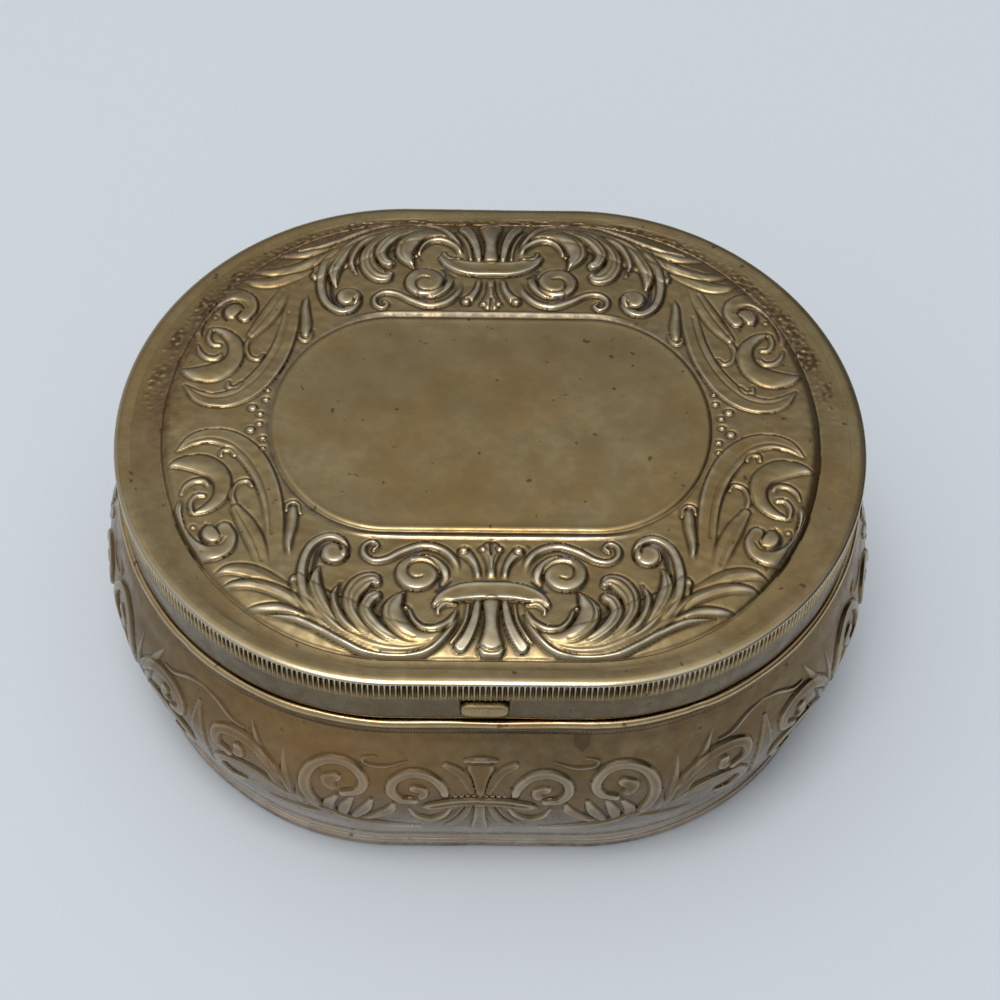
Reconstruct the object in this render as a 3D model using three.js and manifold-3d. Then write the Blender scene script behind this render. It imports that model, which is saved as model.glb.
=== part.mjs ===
// A brass powder box: an oval bombe body on a plain foot, a hinged lid with a reeded rim,
// and a small press-in catch in the middle of the front.
// Millimetres, +Z up, front towards -Y, origin at the middle of the base.
import * as THREE from 'three';
import { mergeVertices } from 'three/addons/utils/BufferGeometryUtils.js';
import Module from 'manifold-3d';

const wasm = await Module();
wasm.setup();

// Plan of the lid's rim: a straight middle with half an ellipse at each end.
const rimStraight = 9.8;          // half the length of the straight middle
const rimEndReach = 31.2;         // how far each elliptical end reaches along X
const rimHalfDepth = 34.4;        // half the depth along Y
const arcSteps = 32;              // steps round each elliptical end

// Sheet and fits.
const sheet = 0.6;                // thickness of the stamped sheet
const seam = 0.1;                 // gap between soldered pieces
const lidPlay = 0.4;              // clearance between the skirt and the collar
const partingGap = 0.3;           // gap between the closed lid and the body

// Heights of the body.
const footHeight = 1.5;
const footProud = 0.6;            // how far the foot stands outside the wall's lower edge
const footWidth = 1.5;
const baseRecess = 0.5;           // how far the base plate sits above the foot's underside
const wallTop = 24.1;
const bulgeHeight = 16;           // height of the widest level
const neckInset = 0.1;            // the wall's upper edge, inside the rim's outline
const bulgeReach = 2.35;          // the widest level, outside the rim's outline
const heelInset = 1.5;            // the wall's lower edge, inside the rim's outline
const wallSteps = 7;              // steps above and below the widest level
const shelfFillet = 0.3;          // where the wall turns in under its top
const milledHeight = 1.0;
const milledReach = 0.12;
const beadHeight = 0.95;
const beadReach = 0.3;
const collarDepth = 4.0;          // how far the collar reaches down inside the wall
const collarRise = 4.2;           // how far the collar stands up inside the skirt

// Heights of the lid.
const skirtHeight = 5.2;
const skirtInset = 0.25;          // the skirt's outer face, inside the rim's outline
const rabbetDepth = 0.25;         // step in the skirt that the reeded band lies in
const rimRound = 0.9;             // radius of the rim's shoulder
const rimBand = 2.95;             // height of the reeded band
const rimLip = 1.7;               // how far the rim covers the lid's border
const rimLipThick = 0.45;
const borderDrop = 0.05;          // the lid's border lies this far below the rim's lip
const borderSide = 5.0;           // plain border, at the ends and at the front and back
const borderFront = 2.9;
const fieldRise = 0.75;           // the carved field's ground above the border
const fieldToe = 2.2;             // width of the slope that leads up to it
const fieldToeRise = 0.65;        // height reached at the top of that slope
const fieldShoulder = 4.5;
const plateStraight = 11.0;       // the bare oval plate in the middle
const plateEndReach = 12.8;
const plateHalfDepth = 15.2;
const plateRise = 0.2;            // the plate stands above the field
const plateEdge = 0.35;           // width of its bevelled edge
const carvingSunk = 0.3;          // how far a carved form reaches down into the field
const carvingCrown = 0.45;        // width of its flat top, as a share of its whole width
const carvingSteps = 2;           // steps between two points of its curve

// Hinge.
const knuckleRadius = 1.2;
const knucklePlay = 0.1;          // gap between the knuckles and the skirt
const hingeLength = 18.0;
const knuckleCount = 5;
const knuckleGap = 0.2;
const pinRadius = 0.45;
const pinPlay = 0.1;
const pinProud = 0.3;             // how far each end of the pin stands out
const leafThick = 0.5;
const leafHeight = 1.7;

// Catch.
const catchSide = -0.6;           // the catch sits a little left of the middle
const tabWidth = 4.8;
const tabHeight = 2.2;
const tabProud = 0.35;            // the tab's face, outside the rim's outline
const tabSlope = 0.2;             // how far its lower edge falls back
const tabPlay = 0.4;              // gap beside the tab
const tabTopPlay = 0.45;          // the tab's top edge rises as it swings in
const tabCorner = 1.0;
const springWidth = 6.6;
const springThick = 0.4;
const springFootHeight = 1.7;
const springFootThick = 0.7;
const springPlay = 0.3;

const cutOver = 1.0;              // how far a cutter reaches past what it cuts

// Levels and offsets that follow.
const rimOval = { straight: rimStraight, a: rimEndReach, b: rimHalfDepth };
const milledBase = wallTop + seam;
const milledTop = milledBase + milledHeight;
const beadBase = milledTop + seam;
const beadTop = beadBase + beadHeight;
const skirtBase = beadTop + partingGap;
const skirtTop = skirtBase + skirtHeight;
const lidUnder = skirtTop + seam;
const flangeLevel = lidUnder + sheet;
const crest = flangeLevel + seam + rimLipThick;
const borderLevel = crest - borderDrop;
const rimBase = crest - rimBand;
const skirtInner = -skirtInset - sheet;
const rabbetFace = -skirtInset - rabbetDepth;
const rimInner = rabbetFace + seam;
const collarOuter = skirtInner - lidPlay;
const collarInner = collarOuter - sheet;
const collarBase = wallTop - collarDepth;
const collarTop = beadTop + collarRise;
const fieldLevel = borderLevel + fieldRise;
const plateLevel = fieldLevel + plateRise;
const fieldOval = {
  straight: rimStraight, a: rimEndReach - borderSide, b: rimHalfDepth - borderFront,
};
const plateOval = { straight: plateStraight, a: plateEndReach, b: plateHalfDepth };
const hingeY = rimHalfDepth - skirtInset + knucklePlay + knuckleRadius;
const hingeZ = beadTop + partingGap / 2;

const colours = {
  wall: 0x6f6145,
  lid: 0x7a6a45,
  rim: 0x8c7a4e,
  polished: 0x9a8a6a,
  inside: 0x8f7d4c,
  steel: 0x77736a,
};

// Points of an oval, moved outwards by `out`, at height z.
function ovalRing(oval, out, z) {
  const ring = [];
  for (const side of [1, -1]) {
    for (let step = 0; step <= arcSteps; step += 1) {
      const turn = side * Math.PI * (step / arcSteps - 0.5);
      const along = Math.cos(turn);
      const across = Math.sin(turn);
      const normal = new THREE.Vector2(along / oval.a, across / oval.b).normalize();
      const x = oval.straight + oval.a * along + out * normal.x;
      const y = oval.b * across + out * normal.y;
      ring.push(new THREE.Vector3(side * x, y, z));
    }
  }
  return ring;
}

// A closed body through rings of equal count. A hoop joins its last ring to its first;
// otherwise both end rings, which are convex, are capped.
function loft(rings, hoop) {
  const count = rings[0].length;
  const points = rings.flat();
  const faces = [];
  const last = hoop ? rings.length : rings.length - 1;
  for (let level = 0; level < last; level += 1) {
    const here = level * count;
    const next = ((level + 1) % rings.length) * count;
    for (let k = 0; k < count; k += 1) {
      const side = (k + 1) % count;
      faces.push(here + k, here + side, next + side);
      faces.push(here + k, next + side, next + k);
    }
  }
  if (!hoop) {
    const end = last * count;
    for (let k = 1; k < count - 1; k += 1) {
      faces.push(0, k + 1, k);
      faces.push(end, end + k, end + k + 1);
    }
  }
  return bodyFrom(points, faces);
}

function bodyFrom(points, faces) {
  const geometry = new THREE.BufferGeometry();
  geometry.setAttribute('position', new THREE.Float32BufferAttribute(
    points.flatMap((p) => [p.x, p.y, p.z]), 3));
  geometry.setIndex(faces);
  if (signedVolume(points, faces) < 0) {
    geometry.setIndex(faces.toReversed());
  }
  return geometry;
}

function signedVolume(points, faces) {
  let sum = 0;
  const normal = new THREE.Vector3();
  for (let i = 0; i < faces.length; i += 3) {
    const [a, b, c] = [points[faces[i]], points[faces[i + 1]], points[faces[i + 2]]];
    sum += a.dot(normal.crossVectors(b, c)) / 6;
  }
  return sum;
}

// A hoop whose section is a list of [offset from the rim's outline, height].
function hoop(section) {
  return loft(section.map(([out, z]) => ovalRing(rimOval, out, z)), true);
}

// Booleans.
function toSolid(geometry) {
  const bare = geometry.clone();
  bare.deleteAttribute('normal');
  bare.deleteAttribute('uv');
  const merged = mergeVertices(bare, 1e-5);
  return new wasm.Manifold(new wasm.Mesh({
    numProp: 3,
    vertProperties: new Float32Array(merged.attributes.position.array),
    triVerts: new Uint32Array(merged.index.array),
  }));
}

function toGeometry(solid) {
  const mesh = solid.getMesh();
  const geometry = new THREE.BufferGeometry();
  geometry.setAttribute('position', new THREE.BufferAttribute(mesh.vertProperties, 3));
  geometry.setIndex(new THREE.BufferAttribute(mesh.triVerts, 1));
  return geometry;
}

function cut(geometry, ...tools) {
  return toGeometry(tools.reduce((solid, tool) => solid.subtract(toSolid(tool)), toSolid(geometry)));
}

function join(...pieces) {
  return toGeometry(pieces.map(toSolid).reduce((sum, piece) => sum.add(piece)));
}

function block(x0, x1, y0, y1, z0, z1) {
  const box = new THREE.BoxGeometry(x1 - x0, y1 - y0, z1 - z0);
  return box.translate((x0 + x1) / 2, (y0 + y1) / 2, (z0 + z1) / 2);
}

// A shape drawn in (Y, Z) and extruded along X from x0 to x1.
function extrudeAlongX(shape, x0, x1) {
  const geometry = new THREE.ExtrudeGeometry(shape, {
    depth: x1 - x0, bevelEnabled: false, curveSegments: 10,
  });
  geometry.applyMatrix4(new THREE.Matrix4().makeBasis(
    new THREE.Vector3(0, 1, 0), new THREE.Vector3(0, 0, 1), new THREE.Vector3(1, 0, 0)));
  return geometry.translate(x0, 0, 0);
}

// Body.
function wallReach(z) {
  const quarter = Math.PI / 2;
  if (z > bulgeHeight) {
    const share = (z - bulgeHeight) / (wallTop - bulgeHeight);
    return -neckInset + (bulgeReach + neckInset) * Math.cos(quarter * share);
  }
  const share = (bulgeHeight - z) / (bulgeHeight - footHeight);
  return -heelInset + (bulgeReach + heelInset) * Math.cos(quarter * share);
}

function bodyWall() {
  const outer = [];
  const heel = footHeight + seam;
  for (let step = 0; step <= wallSteps; step += 1) {
    outer.push(heel + (bulgeHeight - heel) * step / wallSteps);
  }
  for (let step = 1; step <= wallSteps; step += 1) {
    outer.push(bulgeHeight + (wallTop - bulgeHeight) * step / wallSteps);
  }
  const inner = outer.filter((z) => z < wallTop - 2 * sheet).reverse();
  const shelf = wallTop - sheet;
  return hoop([
    ...outer.map((z) => [wallReach(z), z]),
    [collarOuter + seam, wallTop],
    [collarOuter + seam, shelf],
    [wallReach(shelf) - sheet - shelfFillet, shelf],
    ...inner.map((z) => [wallReach(z) - sheet, z]),
  ]);
}

const footOuter = footProud - heelInset;

function footRing() {
  const edge = footHeight / 5;
  return hoop([
    [footOuter - footWidth, 0],
    [footOuter - edge, 0],
    [footOuter, edge],
    [footOuter, footHeight - edge],
    [footOuter - edge, footHeight],
    [footOuter - footWidth, footHeight],
  ]);
}

function basePlate() {
  const reach = footOuter - footWidth - seam;
  return loft([
    ovalRing(rimOval, reach, baseRecess),
    ovalRing(rimOval, reach, baseRecess + sheet),
  ], false);
}

const hingeHalf = hingeLength / 2;
const hingeBay = hingeHalf + partingGap;

function hingeBayCutter() {
  return block(-hingeBay, hingeBay, rimHalfDepth + collarOuter, hingeY + knuckleRadius,
    wallTop, skirtBase);
}

function milledBand() {
  const band = hoop([
    [collarOuter + seam, milledBase],
    [milledReach - seam, milledBase],
    [milledReach, milledBase + seam],
    [milledReach, milledTop - seam],
    [milledReach - seam, milledTop],
    [collarOuter + seam, milledTop],
  ]);
  return cut(band, hingeBayCutter());
}

function shoulderBead() {
  const section = [[collarOuter + seam, beadTop], [collarOuter + seam, beadBase]];
  const middle = (beadBase + beadTop) / 2;
  const radius = beadHeight / 2;
  const steps = 6;
  for (let step = 0; step <= steps; step += 1) {
    const turn = Math.PI * (step / steps - 0.5);
    section.push([beadReach - radius + radius * Math.cos(turn), middle + radius * Math.sin(turn)]);
  }
  return cut(hoop(section), hingeBayCutter());
}

const tabBay = tabWidth / 2 + tabPlay;
const tabTop = rimBase - tabTopPlay;
const tabBase = tabTop - tabHeight;

function collar() {
  const ring = hoop([
    [collarInner, collarBase],
    [collarOuter, collarBase],
    [collarOuter, collarTop],
    [collarInner, collarTop],
  ]);
  const y = -rimHalfDepth;
  const bay = block(catchSide - tabBay, catchSide + tabBay, y - cutOver,
    y - collarInner + cutOver, tabBase - springPlay, collarTop + cutOver);
  return cut(ring, bay);
}

// Catch: a tab on a leaf spring that stands on a foot soldered inside the collar.
const springY = -rimHalfDepth - collarInner + springPlay;
const springBase = collarBase + springFootHeight + springPlay;
const springTop = tabTop;

function springFoot() {
  const y = -rimHalfDepth - collarInner + seam;
  return block(catchSide - springWidth / 2, catchSide + springWidth / 2,
    y, y + springFootThick, collarBase + seam, collarBase + springFootHeight);
}

function catchTab() {
  const face = -rimHalfDepth - tabProud;
  const side = new THREE.Shape();
  side.moveTo(springY + springThick, springBase);
  side.lineTo(springY + springThick, springTop);
  side.lineTo(springY, springTop);
  side.lineTo(springY, springBase);
  const leaf = extrudeAlongX(side, -springWidth / 2, springWidth / 2);

  const front = new THREE.Shape();
  const half = tabWidth / 2;
  front.moveTo(-half, tabTop);
  front.lineTo(-half, tabBase + tabCorner);
  front.quadraticCurveTo(-half, tabBase, -half + tabCorner, tabBase);
  front.lineTo(half - tabCorner, tabBase);
  front.quadraticCurveTo(half, tabBase, half, tabBase + tabCorner);
  front.lineTo(half, tabTop);
  const depth = springY + springThick / 2 - face;
  const pad = new THREE.ExtrudeGeometry(front, { depth, bevelEnabled: false, curveSegments: 5 });
  pad.rotateX(Math.PI / 2).translate(0, springY + springThick / 2, 0);

  const slope = new THREE.Shape();
  slope.moveTo(face - cutOver, tabBase - cutOver);
  slope.lineTo(face + tabSlope, tabBase - cutOver);
  slope.lineTo(face + tabSlope, tabBase);
  slope.lineTo(face, tabBase + tabHeight / 2);
  slope.lineTo(face - cutOver, tabBase + tabHeight / 2);
  const shaving = extrudeAlongX(slope, -tabWidth, tabWidth);
  return cut(join(leaf, pad), shaving).translate(catchSide, 0, 0);
}

// Lid.
function lidSkirt() {
  const ring = hoop([
    [skirtInner, skirtBase],
    [-skirtInset, skirtBase],
    [-skirtInset, rimBase - seam],
    [rabbetFace, rimBase - seam],
    [rabbetFace, skirtTop],
    [skirtInner, skirtTop],
  ]);
  const y = -rimHalfDepth;
  return cut(ring, block(catchSide - tabBay, catchSide + tabBay, y - cutOver,
    y - skirtInner + cutOver, skirtBase - cutOver, rimBase));
}

function reededRim() {
  const section = [[rimInner, rimBase], [0, rimBase]];
  const steps = 4;
  for (let step = 0; step <= steps; step += 1) {
    const turn = Math.PI / 2 * step / steps;
    section.push([
      rimRound * (Math.cos(turn) - 1),
      crest - rimRound + rimRound * Math.sin(turn),
    ]);
  }
  section.push(
    [-rimLip, crest],
    [-rimLip, flangeLevel + seam],
    [rimInner, flangeLevel + seam],
  );
  return hoop(section);
}

// The main scrolls and leaves of a quarter of the lid, which repeat in all four. Each has
// its height above the field and a curve of [x, y, half width], y growing towards the rim.
const carvedForms = [
  // strap, and the palmette on each side of it
  { rise: 0.5, curve: [[-0.5, 23.1, 1.1], [1.5, 23.1, 1.1], [3.2, 23.3, 1.1], [4.7, 24, 0.95],
    [5.7, 24.8, 0.6]] },
  { rise: 0.42, curve: [[0, 24.4, 0.9], [0, 27, 0.85], [0, 29, 1.1], [0, 30, 1.5]] },
  { rise: 0.38, curve: [[1.8, 24.5, 0.5], [2, 27, 0.55], [2.7, 28.8, 0.65], [3.5, 29.8, 0.55]] },
  { rise: 0.33, curve: [[1.2, 21.9, 0.4], [1.9, 20, 0.55], [2.6, 18.6, 0.65], [3.2, 17.8, 0.35]] },
  // scroll beside the strap, and the long stem that runs over it
  { rise: 0.43, curve: [[5.2, 21.2, 0.6], [5.6, 19.5, 0.65], [7, 18.7, 0.65], [8.6, 19.1, 0.65],
    [9.2, 20.4, 0.65], [8.8, 21.7, 0.65], [7.7, 22.3, 0.6]] },
  { rise: 0.35, curve: [[3, 21.4, 0.4], [3.6, 19.4, 0.5], [5, 17.8, 0.55], [7.2, 17.2, 0.55],
    [9.2, 17.9, 0.5], [11.2, 18.7, 0.48], [12.9, 18.3, 0.4], [13, 17.2, 0.3]] },
  // acanthus lobes
  { rise: 0.4, curve: [[8.5, 29.3, 0.6], [11.9, 28, 0.9], [13.8, 25.6, 1], [13.6, 23.3, 1],
    [12.4, 21.9, 0.8]] },
  { rise: 0.48, curve: [[5, 27.8, 0.4], [7.5, 28.1, 0.7], [9.4, 27, 1.1], [10, 25.3, 1.1],
    [9.5, 23.9, 0.7]] },
  // outer scroll with its stem
  { rise: 0.45, curve: [[12, 29.2, 0.8], [16, 27.2, 1.1], [18.4, 24, 1.1], [19.2, 21, 0.8],
    [19, 18.2, 0.75], [17.9, 16.4, 0.75], [16.3, 15.95, 0.7], [14.9, 16.8, 0.68],
    [14.5, 18.3, 0.65]] },
  // leaves that sweep out along the lower edge, and the bud
  { rise: 0.34, curve: [[10, 30, 0.6], [14, 29.2, 0.9], [17.5, 27, 1], [20.5, 25.3, 0.9],
    [23.5, 24.9, 0.8], [25.9, 24.7, 0.2]] },
  { rise: 0.3, curve: [[18.5, 25.5, 0.8], [21.5, 22.5, 1.1], [24.3, 20.3, 1.1], [27, 20.6, 0.8],
    [29, 20.9, 0.2]] },
  { rise: 0.37, curve: [[19.8, 24.5, 0.4], [20.9, 21.5, 0.6], [21.2, 18.5, 0.75],
    [20.9, 15.5, 0.8], [20.9, 12.5, 0.7]] },
  // side leaf along the plate, side volute, and the leaf that rolls into it
  { rise: 0.41, curve: [[21.8, 21, 0.5], [23, 16, 0.9], [23.6, 11, 1], [24.7, 6.6, 1.15],
    [27, 3, 1.3], [30, 1.8, 1.2], [32.2, 2.6, 0.8], [33.6, 4, 0.25]] },
  { rise: 0.46, curve: [[32.6, 9.9, 0.3], [33.1, 12, 0.55], [32.9, 14.6, 0.75],
    [31.8, 17.1, 0.9], [29.6, 18.7, 0.9], [27.6, 18, 0.9], [26.9, 16.2, 0.8],
    [27.7, 14.7, 0.6]] },
  { rise: 0.44, curve: [[34.4, 5.9, 0.3], [32, 6.4, 0.95], [30, 7, 1.1], [28.7, 8.4, 1],
    [28.4, 10, 0.95], [28.9, 11.8, 0.8], [30.3, 12.8, 0.6]] },
];

// Height of the field's ground: it slopes up from the border over the toe and the shoulder.
function fieldGround(x, y) {
  const along = Math.max(Math.abs(x) - fieldOval.straight, 0);
  const share = Math.hypot(along / fieldOval.a, y / fieldOval.b);
  const inset = Math.hypot(along, y) * (1 / share - 1);
  if (inset < fieldToe) {
    return borderLevel + fieldToeRise * inset / fieldToe;
  }
  const shoulder = Math.min((inset - fieldToe) / (fieldShoulder - fieldToe), 1);
  return borderLevel + fieldToeRise + (fieldRise - fieldToeRise) * shoulder;
}

// A ridge with sloping sides along a form's curve, mirrored by the given signs.
function carvedRidge({ rise, curve }, signX, signY) {
  const path = new THREE.CatmullRomCurve3(curve.map((point) => new THREE.Vector3(...point)));
  const section = [[1, -carvingSunk], [carvingCrown, rise], [-carvingCrown, rise], [-1, -carvingSunk]];
  const steps = carvingSteps * (curve.length - 1);
  const rings = [];
  for (let step = 0; step <= steps; step += 1) {
    const at = path.getPoint(step / steps);
    const heading = path.getTangent(step / steps);
    const side = new THREE.Vector2(-heading.y, heading.x).setLength(at.z);
    rings.push(section.map(([share, height]) => new THREE.Vector3(
      signX * (at.x + share * side.x),
      signY * (at.y + share * side.y),
      fieldGround(at.x, at.y) + height)));
  }
  return loft(rings, false);
}

function carving() {
  const ridges = [];
  for (const form of carvedForms) {
    const onAxis = form.curve.every(([x]) => x === 0);
    for (const signX of onAxis ? [1] : [1, -1]) {
      ridges.push(carvedRidge(form, signX, 1), carvedRidge(form, signX, -1));
    }
  }
  return ridges;
}

function lidTop() {
  const step = -rimLip - seam;
  const upper = [
    ovalRing(rimOval, rabbetFace, flangeLevel),
    ovalRing(rimOval, step, flangeLevel),
    ovalRing(rimOval, step, borderLevel),
    ovalRing(fieldOval, 0, borderLevel),
    ovalRing(fieldOval, -fieldToe, borderLevel + fieldToeRise),
    ovalRing(fieldOval, -fieldShoulder, fieldLevel),
    ovalRing(plateOval, plateEdge, fieldLevel),
    ovalRing(plateOval, 0, plateLevel),
  ];
  const under = [
    ovalRing(plateOval, 0, plateLevel - sheet),
    ovalRing(plateOval, plateEdge, fieldLevel - sheet),
    ovalRing(fieldOval, -fieldShoulder, fieldLevel - sheet),
    ovalRing(fieldOval, -fieldToe, borderLevel + fieldToeRise - sheet),
    ovalRing(fieldOval, -sheet, borderLevel - sheet),
    ovalRing(rimOval, step - sheet, borderLevel - sheet),
    ovalRing(rimOval, step - sheet, lidUnder),
    ovalRing(rimOval, rabbetFace, lidUnder),
  ];
  return join(loft([...under, ...upper], false), ...carving());
}

// Hinge: knuckles round one pin, shared out between the body's leaf and the lid's leaf.
function knuckleSpan(index) {
  const pitch = (hingeLength + knuckleGap) / knuckleCount;
  const start = -hingeHalf + index * pitch;
  return [start, start + pitch - knuckleGap];
}

function knuckle(index) {
  const ring = new THREE.Shape();
  ring.absarc(hingeY, hingeZ, knuckleRadius, 0, 2 * Math.PI);
  const bore = new THREE.Path();
  bore.absarc(hingeY, hingeZ, pinRadius + pinPlay, 0, 2 * Math.PI, true);
  ring.holes.push(bore);
  return extrudeAlongX(ring, ...knuckleSpan(index));
}

// An arm from a leaf at y0..y1, z0..z1 to the knuckle, stopped short of its bore.
function arm(index, y0, y1, z0, z1) {
  const [x0, x1] = knuckleSpan(index);
  return block(x0, x1, y0, y1, z0, z1);
}

function bodyLeaf() {
  const inner = rimHalfDepth + collarOuter + seam;
  const base = wallTop + seam;
  const outer = inner + leafThick;
  const pieces = [block(-hingeHalf, hingeHalf, inner, outer, base, beadTop)];
  const armTop = hingeZ - pinRadius - pinPlay - seam;
  for (let index = 0; index < knuckleCount; index += 2) {
    pieces.push(knuckle(index));
    pieces.push(arm(index, outer - seam, hingeY, hingeZ - knuckleRadius, armTop));
  }
  return join(...pieces);
}

function lidLeaf() {
  const inner = rimHalfDepth - skirtInset + seam;
  const base = hingeZ + knuckleRadius + knuckleGap;
  const pieces = [block(-hingeHalf, hingeHalf, inner, inner + leafThick, base, base + leafHeight)];
  const armOuter = hingeY - pinRadius - pinPlay - seam;
  for (let index = 1; index < knuckleCount; index += 2) {
    pieces.push(knuckle(index));
    pieces.push(arm(index, inner, armOuter, hingeZ, base + seam));
  }
  return join(...pieces);
}

function hingePin() {
  const length = hingeLength + 2 * pinProud;
  const pin = new THREE.CylinderGeometry(pinRadius, pinRadius, length, 16);
  return pin.rotateZ(Math.PI / 2).translate(0, hingeY, hingeZ);
}

function piece(name, geometry, color, roughness = 0.45, metalness = 0.9) {
  const bare = geometry.clone();
  bare.deleteAttribute('uv');
  bare.computeVertexNormals();
  const material = new THREE.MeshStandardMaterial({ color, roughness, metalness });
  const mesh = new THREE.Mesh(bare, material);
  mesh.name = name;
  return mesh;
}

const box = new THREE.Group();
box.name = 'box';
box.add(
  piece('body_wall', bodyWall(), colours.wall),
  piece('foot_ring', footRing(), colours.polished, 0.3),
  piece('base_plate', basePlate(), colours.inside),
  piece('milled_band', milledBand(), colours.wall),
  piece('shoulder_bead', shoulderBead(), colours.rim, 0.35),
  piece('collar', collar(), colours.inside),
  piece('catch_spring_foot', springFoot(), colours.steel),
  piece('body_hinge_leaf', bodyLeaf(), colours.wall),
  piece('hinge_pin', hingePin(), colours.steel, 0.35),
);

const latch = new THREE.Group();
latch.name = 'latch';
latch.add(piece('catch_tab', catchTab(), colours.rim));

const lid = new THREE.Group();
lid.name = 'lid';
lid.add(
  piece('lid_skirt', lidSkirt(), colours.lid),
  piece('reeded_rim', reededRim(), colours.rim, 0.35),
  piece('lid_top', lidTop(), colours.lid),
  piece('lid_hinge_leaf', lidLeaf(), colours.lid),
);

const powderBox = new THREE.Group();
powderBox.name = 'powder_box';
powderBox.add(box, latch, lid);

export default powderBox;
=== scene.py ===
# A brass powder box with stamped scrollwork, on a plain pale floor.
# Metres, +Z up, front towards -Y. Sizes below are in millimetres; MM turns them into metres.
import math

import bmesh
import bpy
import numpy as np
from mathutils import Matrix, Vector


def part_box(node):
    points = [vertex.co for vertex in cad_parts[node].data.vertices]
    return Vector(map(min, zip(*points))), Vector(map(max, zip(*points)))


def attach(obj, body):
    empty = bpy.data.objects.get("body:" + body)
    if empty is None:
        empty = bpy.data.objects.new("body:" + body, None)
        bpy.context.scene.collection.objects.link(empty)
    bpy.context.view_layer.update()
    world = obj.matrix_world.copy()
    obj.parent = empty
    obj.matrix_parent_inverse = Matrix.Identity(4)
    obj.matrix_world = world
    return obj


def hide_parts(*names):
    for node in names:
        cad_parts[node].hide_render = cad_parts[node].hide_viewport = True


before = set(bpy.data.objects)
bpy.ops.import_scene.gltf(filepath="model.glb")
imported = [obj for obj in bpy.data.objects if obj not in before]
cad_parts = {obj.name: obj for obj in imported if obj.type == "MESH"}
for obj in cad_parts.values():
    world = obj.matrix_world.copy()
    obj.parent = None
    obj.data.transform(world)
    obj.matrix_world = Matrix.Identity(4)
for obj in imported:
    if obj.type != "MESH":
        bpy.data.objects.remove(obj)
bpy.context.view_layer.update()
MM = 0.001

# Plans: a straight middle, `straight` long to each side, with half an ellipse at each end.
RIM = {"straight": 9.8, "a": 31.2, "b": 34.4}
FIELD = {"straight": 9.8, "a": 26.2, "b": 31.5}
PLATE = {"straight": 11.0, "a": 12.8, "b": 15.2}
SHEET = 0.6              # thickness of the sheet
SEAM = 0.1               # gap that stands for a soldered joint


def levels(node):
    """The heights of a node's underside and of its top."""
    return tuple(corner.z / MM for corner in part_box(node))


# Levels read from the frame, and what follows from them.
RIM_BASE, CREST = levels("reeded_rim")
SKIRT_BASE, SKIRT_TOP = levels("lid_skirt")
WALL_BASE, WALL_TOP = levels("body_wall")
BEAD_BASE, BEAD_TOP = levels("shoulder_bead")
MILLED_BASE, MILLED_TOP = levels("milled_band")
COLLAR_BASE, COLLAR_TOP = levels("collar")
LID_UNDER = levels("lid_top")[0]
FOOT_TOP = levels("foot_ring")[1]
TAB_LOW, TAB_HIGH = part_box("catch_tab")
BORDER_LEVEL = CREST - 0.05
FIELD_LEVEL = BORDER_LEVEL + 0.75
PLATE_LEVEL = FIELD_LEVEL + 0.2
# Offsets from the rim's outline, outwards.
SKIRT_OUT = -0.25
SKIRT_IN = SKIRT_OUT - SHEET
COLLAR_OUT = SKIRT_IN - 0.4
COLLAR_IN = COLLAR_OUT - SHEET


def ease(value, low, high):
    """Rises smoothly from 0 at `low` to 1 at `high`."""
    share = np.clip((value - low) / (high - low), 0, 1)
    return share * share * (3 - 2 * share)


def bump(distance, width):
    return np.exp(-(distance / width) ** 2)


def ripple(x, y, length, seed, waves=9):
    """A smooth unevenness between about -1 and 1, the same for the same seed."""
    random = np.random.default_rng(seed)
    total = np.zeros(np.shape(x))
    for _ in range(waves):
        heading = random.uniform(0, math.tau)
        pace = math.tau / (length * random.uniform(0.7, 1.6))
        phase = random.uniform(0, math.tau)
        total = total + np.sin(pace * (x * math.cos(heading) + y * math.sin(heading)) + phase)
    return total / math.sqrt(2 * waves)


# Curves and strokes for the stamped ornament.
def spline(points, samples=14):
    """A Catmull-Rom curve through rows of (x, y, half width)."""
    rows = np.array(points, float)
    padded = np.vstack([2 * rows[0] - rows[1], rows, 2 * rows[-1] - rows[-2]])
    pieces = []
    t = np.linspace(0, 1, samples, endpoint=False)[:, None]
    for k in range(1, len(padded) - 2):
        a, b, c, d = padded[k - 1:k + 3]
        pieces.append(0.5 * (2 * b + (c - a) * t + (2 * a - 5 * b + 4 * c - d) * t**2
                             + (3 * b - a - 3 * c + d) * t**3))
    pieces.append(rows[-1:])
    return np.vstack(pieces)


def dot(x, y, radius):
    return np.array([(x - 0.05, y, radius), (x + 0.05, y, radius)])


def nearest(px, py, curve):
    """For each point, the distance to the curve, the half width there and the place along it."""
    best = np.full(px.shape, np.inf)
    width = np.zeros(px.shape)
    along = np.zeros(px.shape)
    count = len(curve) - 1
    for k in range(count):
        x0, y0, w0 = curve[k]
        x1, y1, w1 = curve[k + 1]
        dx, dy = x1 - x0, y1 - y0
        length = dx * dx + dy * dy + 1e-12
        share = np.clip(((px - x0) * dx + (py - y0) * dy) / length, 0, 1)
        distance = np.hypot(px - x0 - share * dx, py - y0 - share * dy)
        closer = distance < best
        best = np.where(closer, distance, best)
        width = np.where(closer, w0 + share * (w1 - w0), width)
        along = np.where(closer, (k + share) / count, along)
    return best, width, along


def rounded(t, power=8):
    """Falls from 1 to 0 towards the edge of a stroke, the more abruptly the higher the power."""
    return np.sqrt(np.clip(1 - t ** power, 0, 1))


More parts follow.
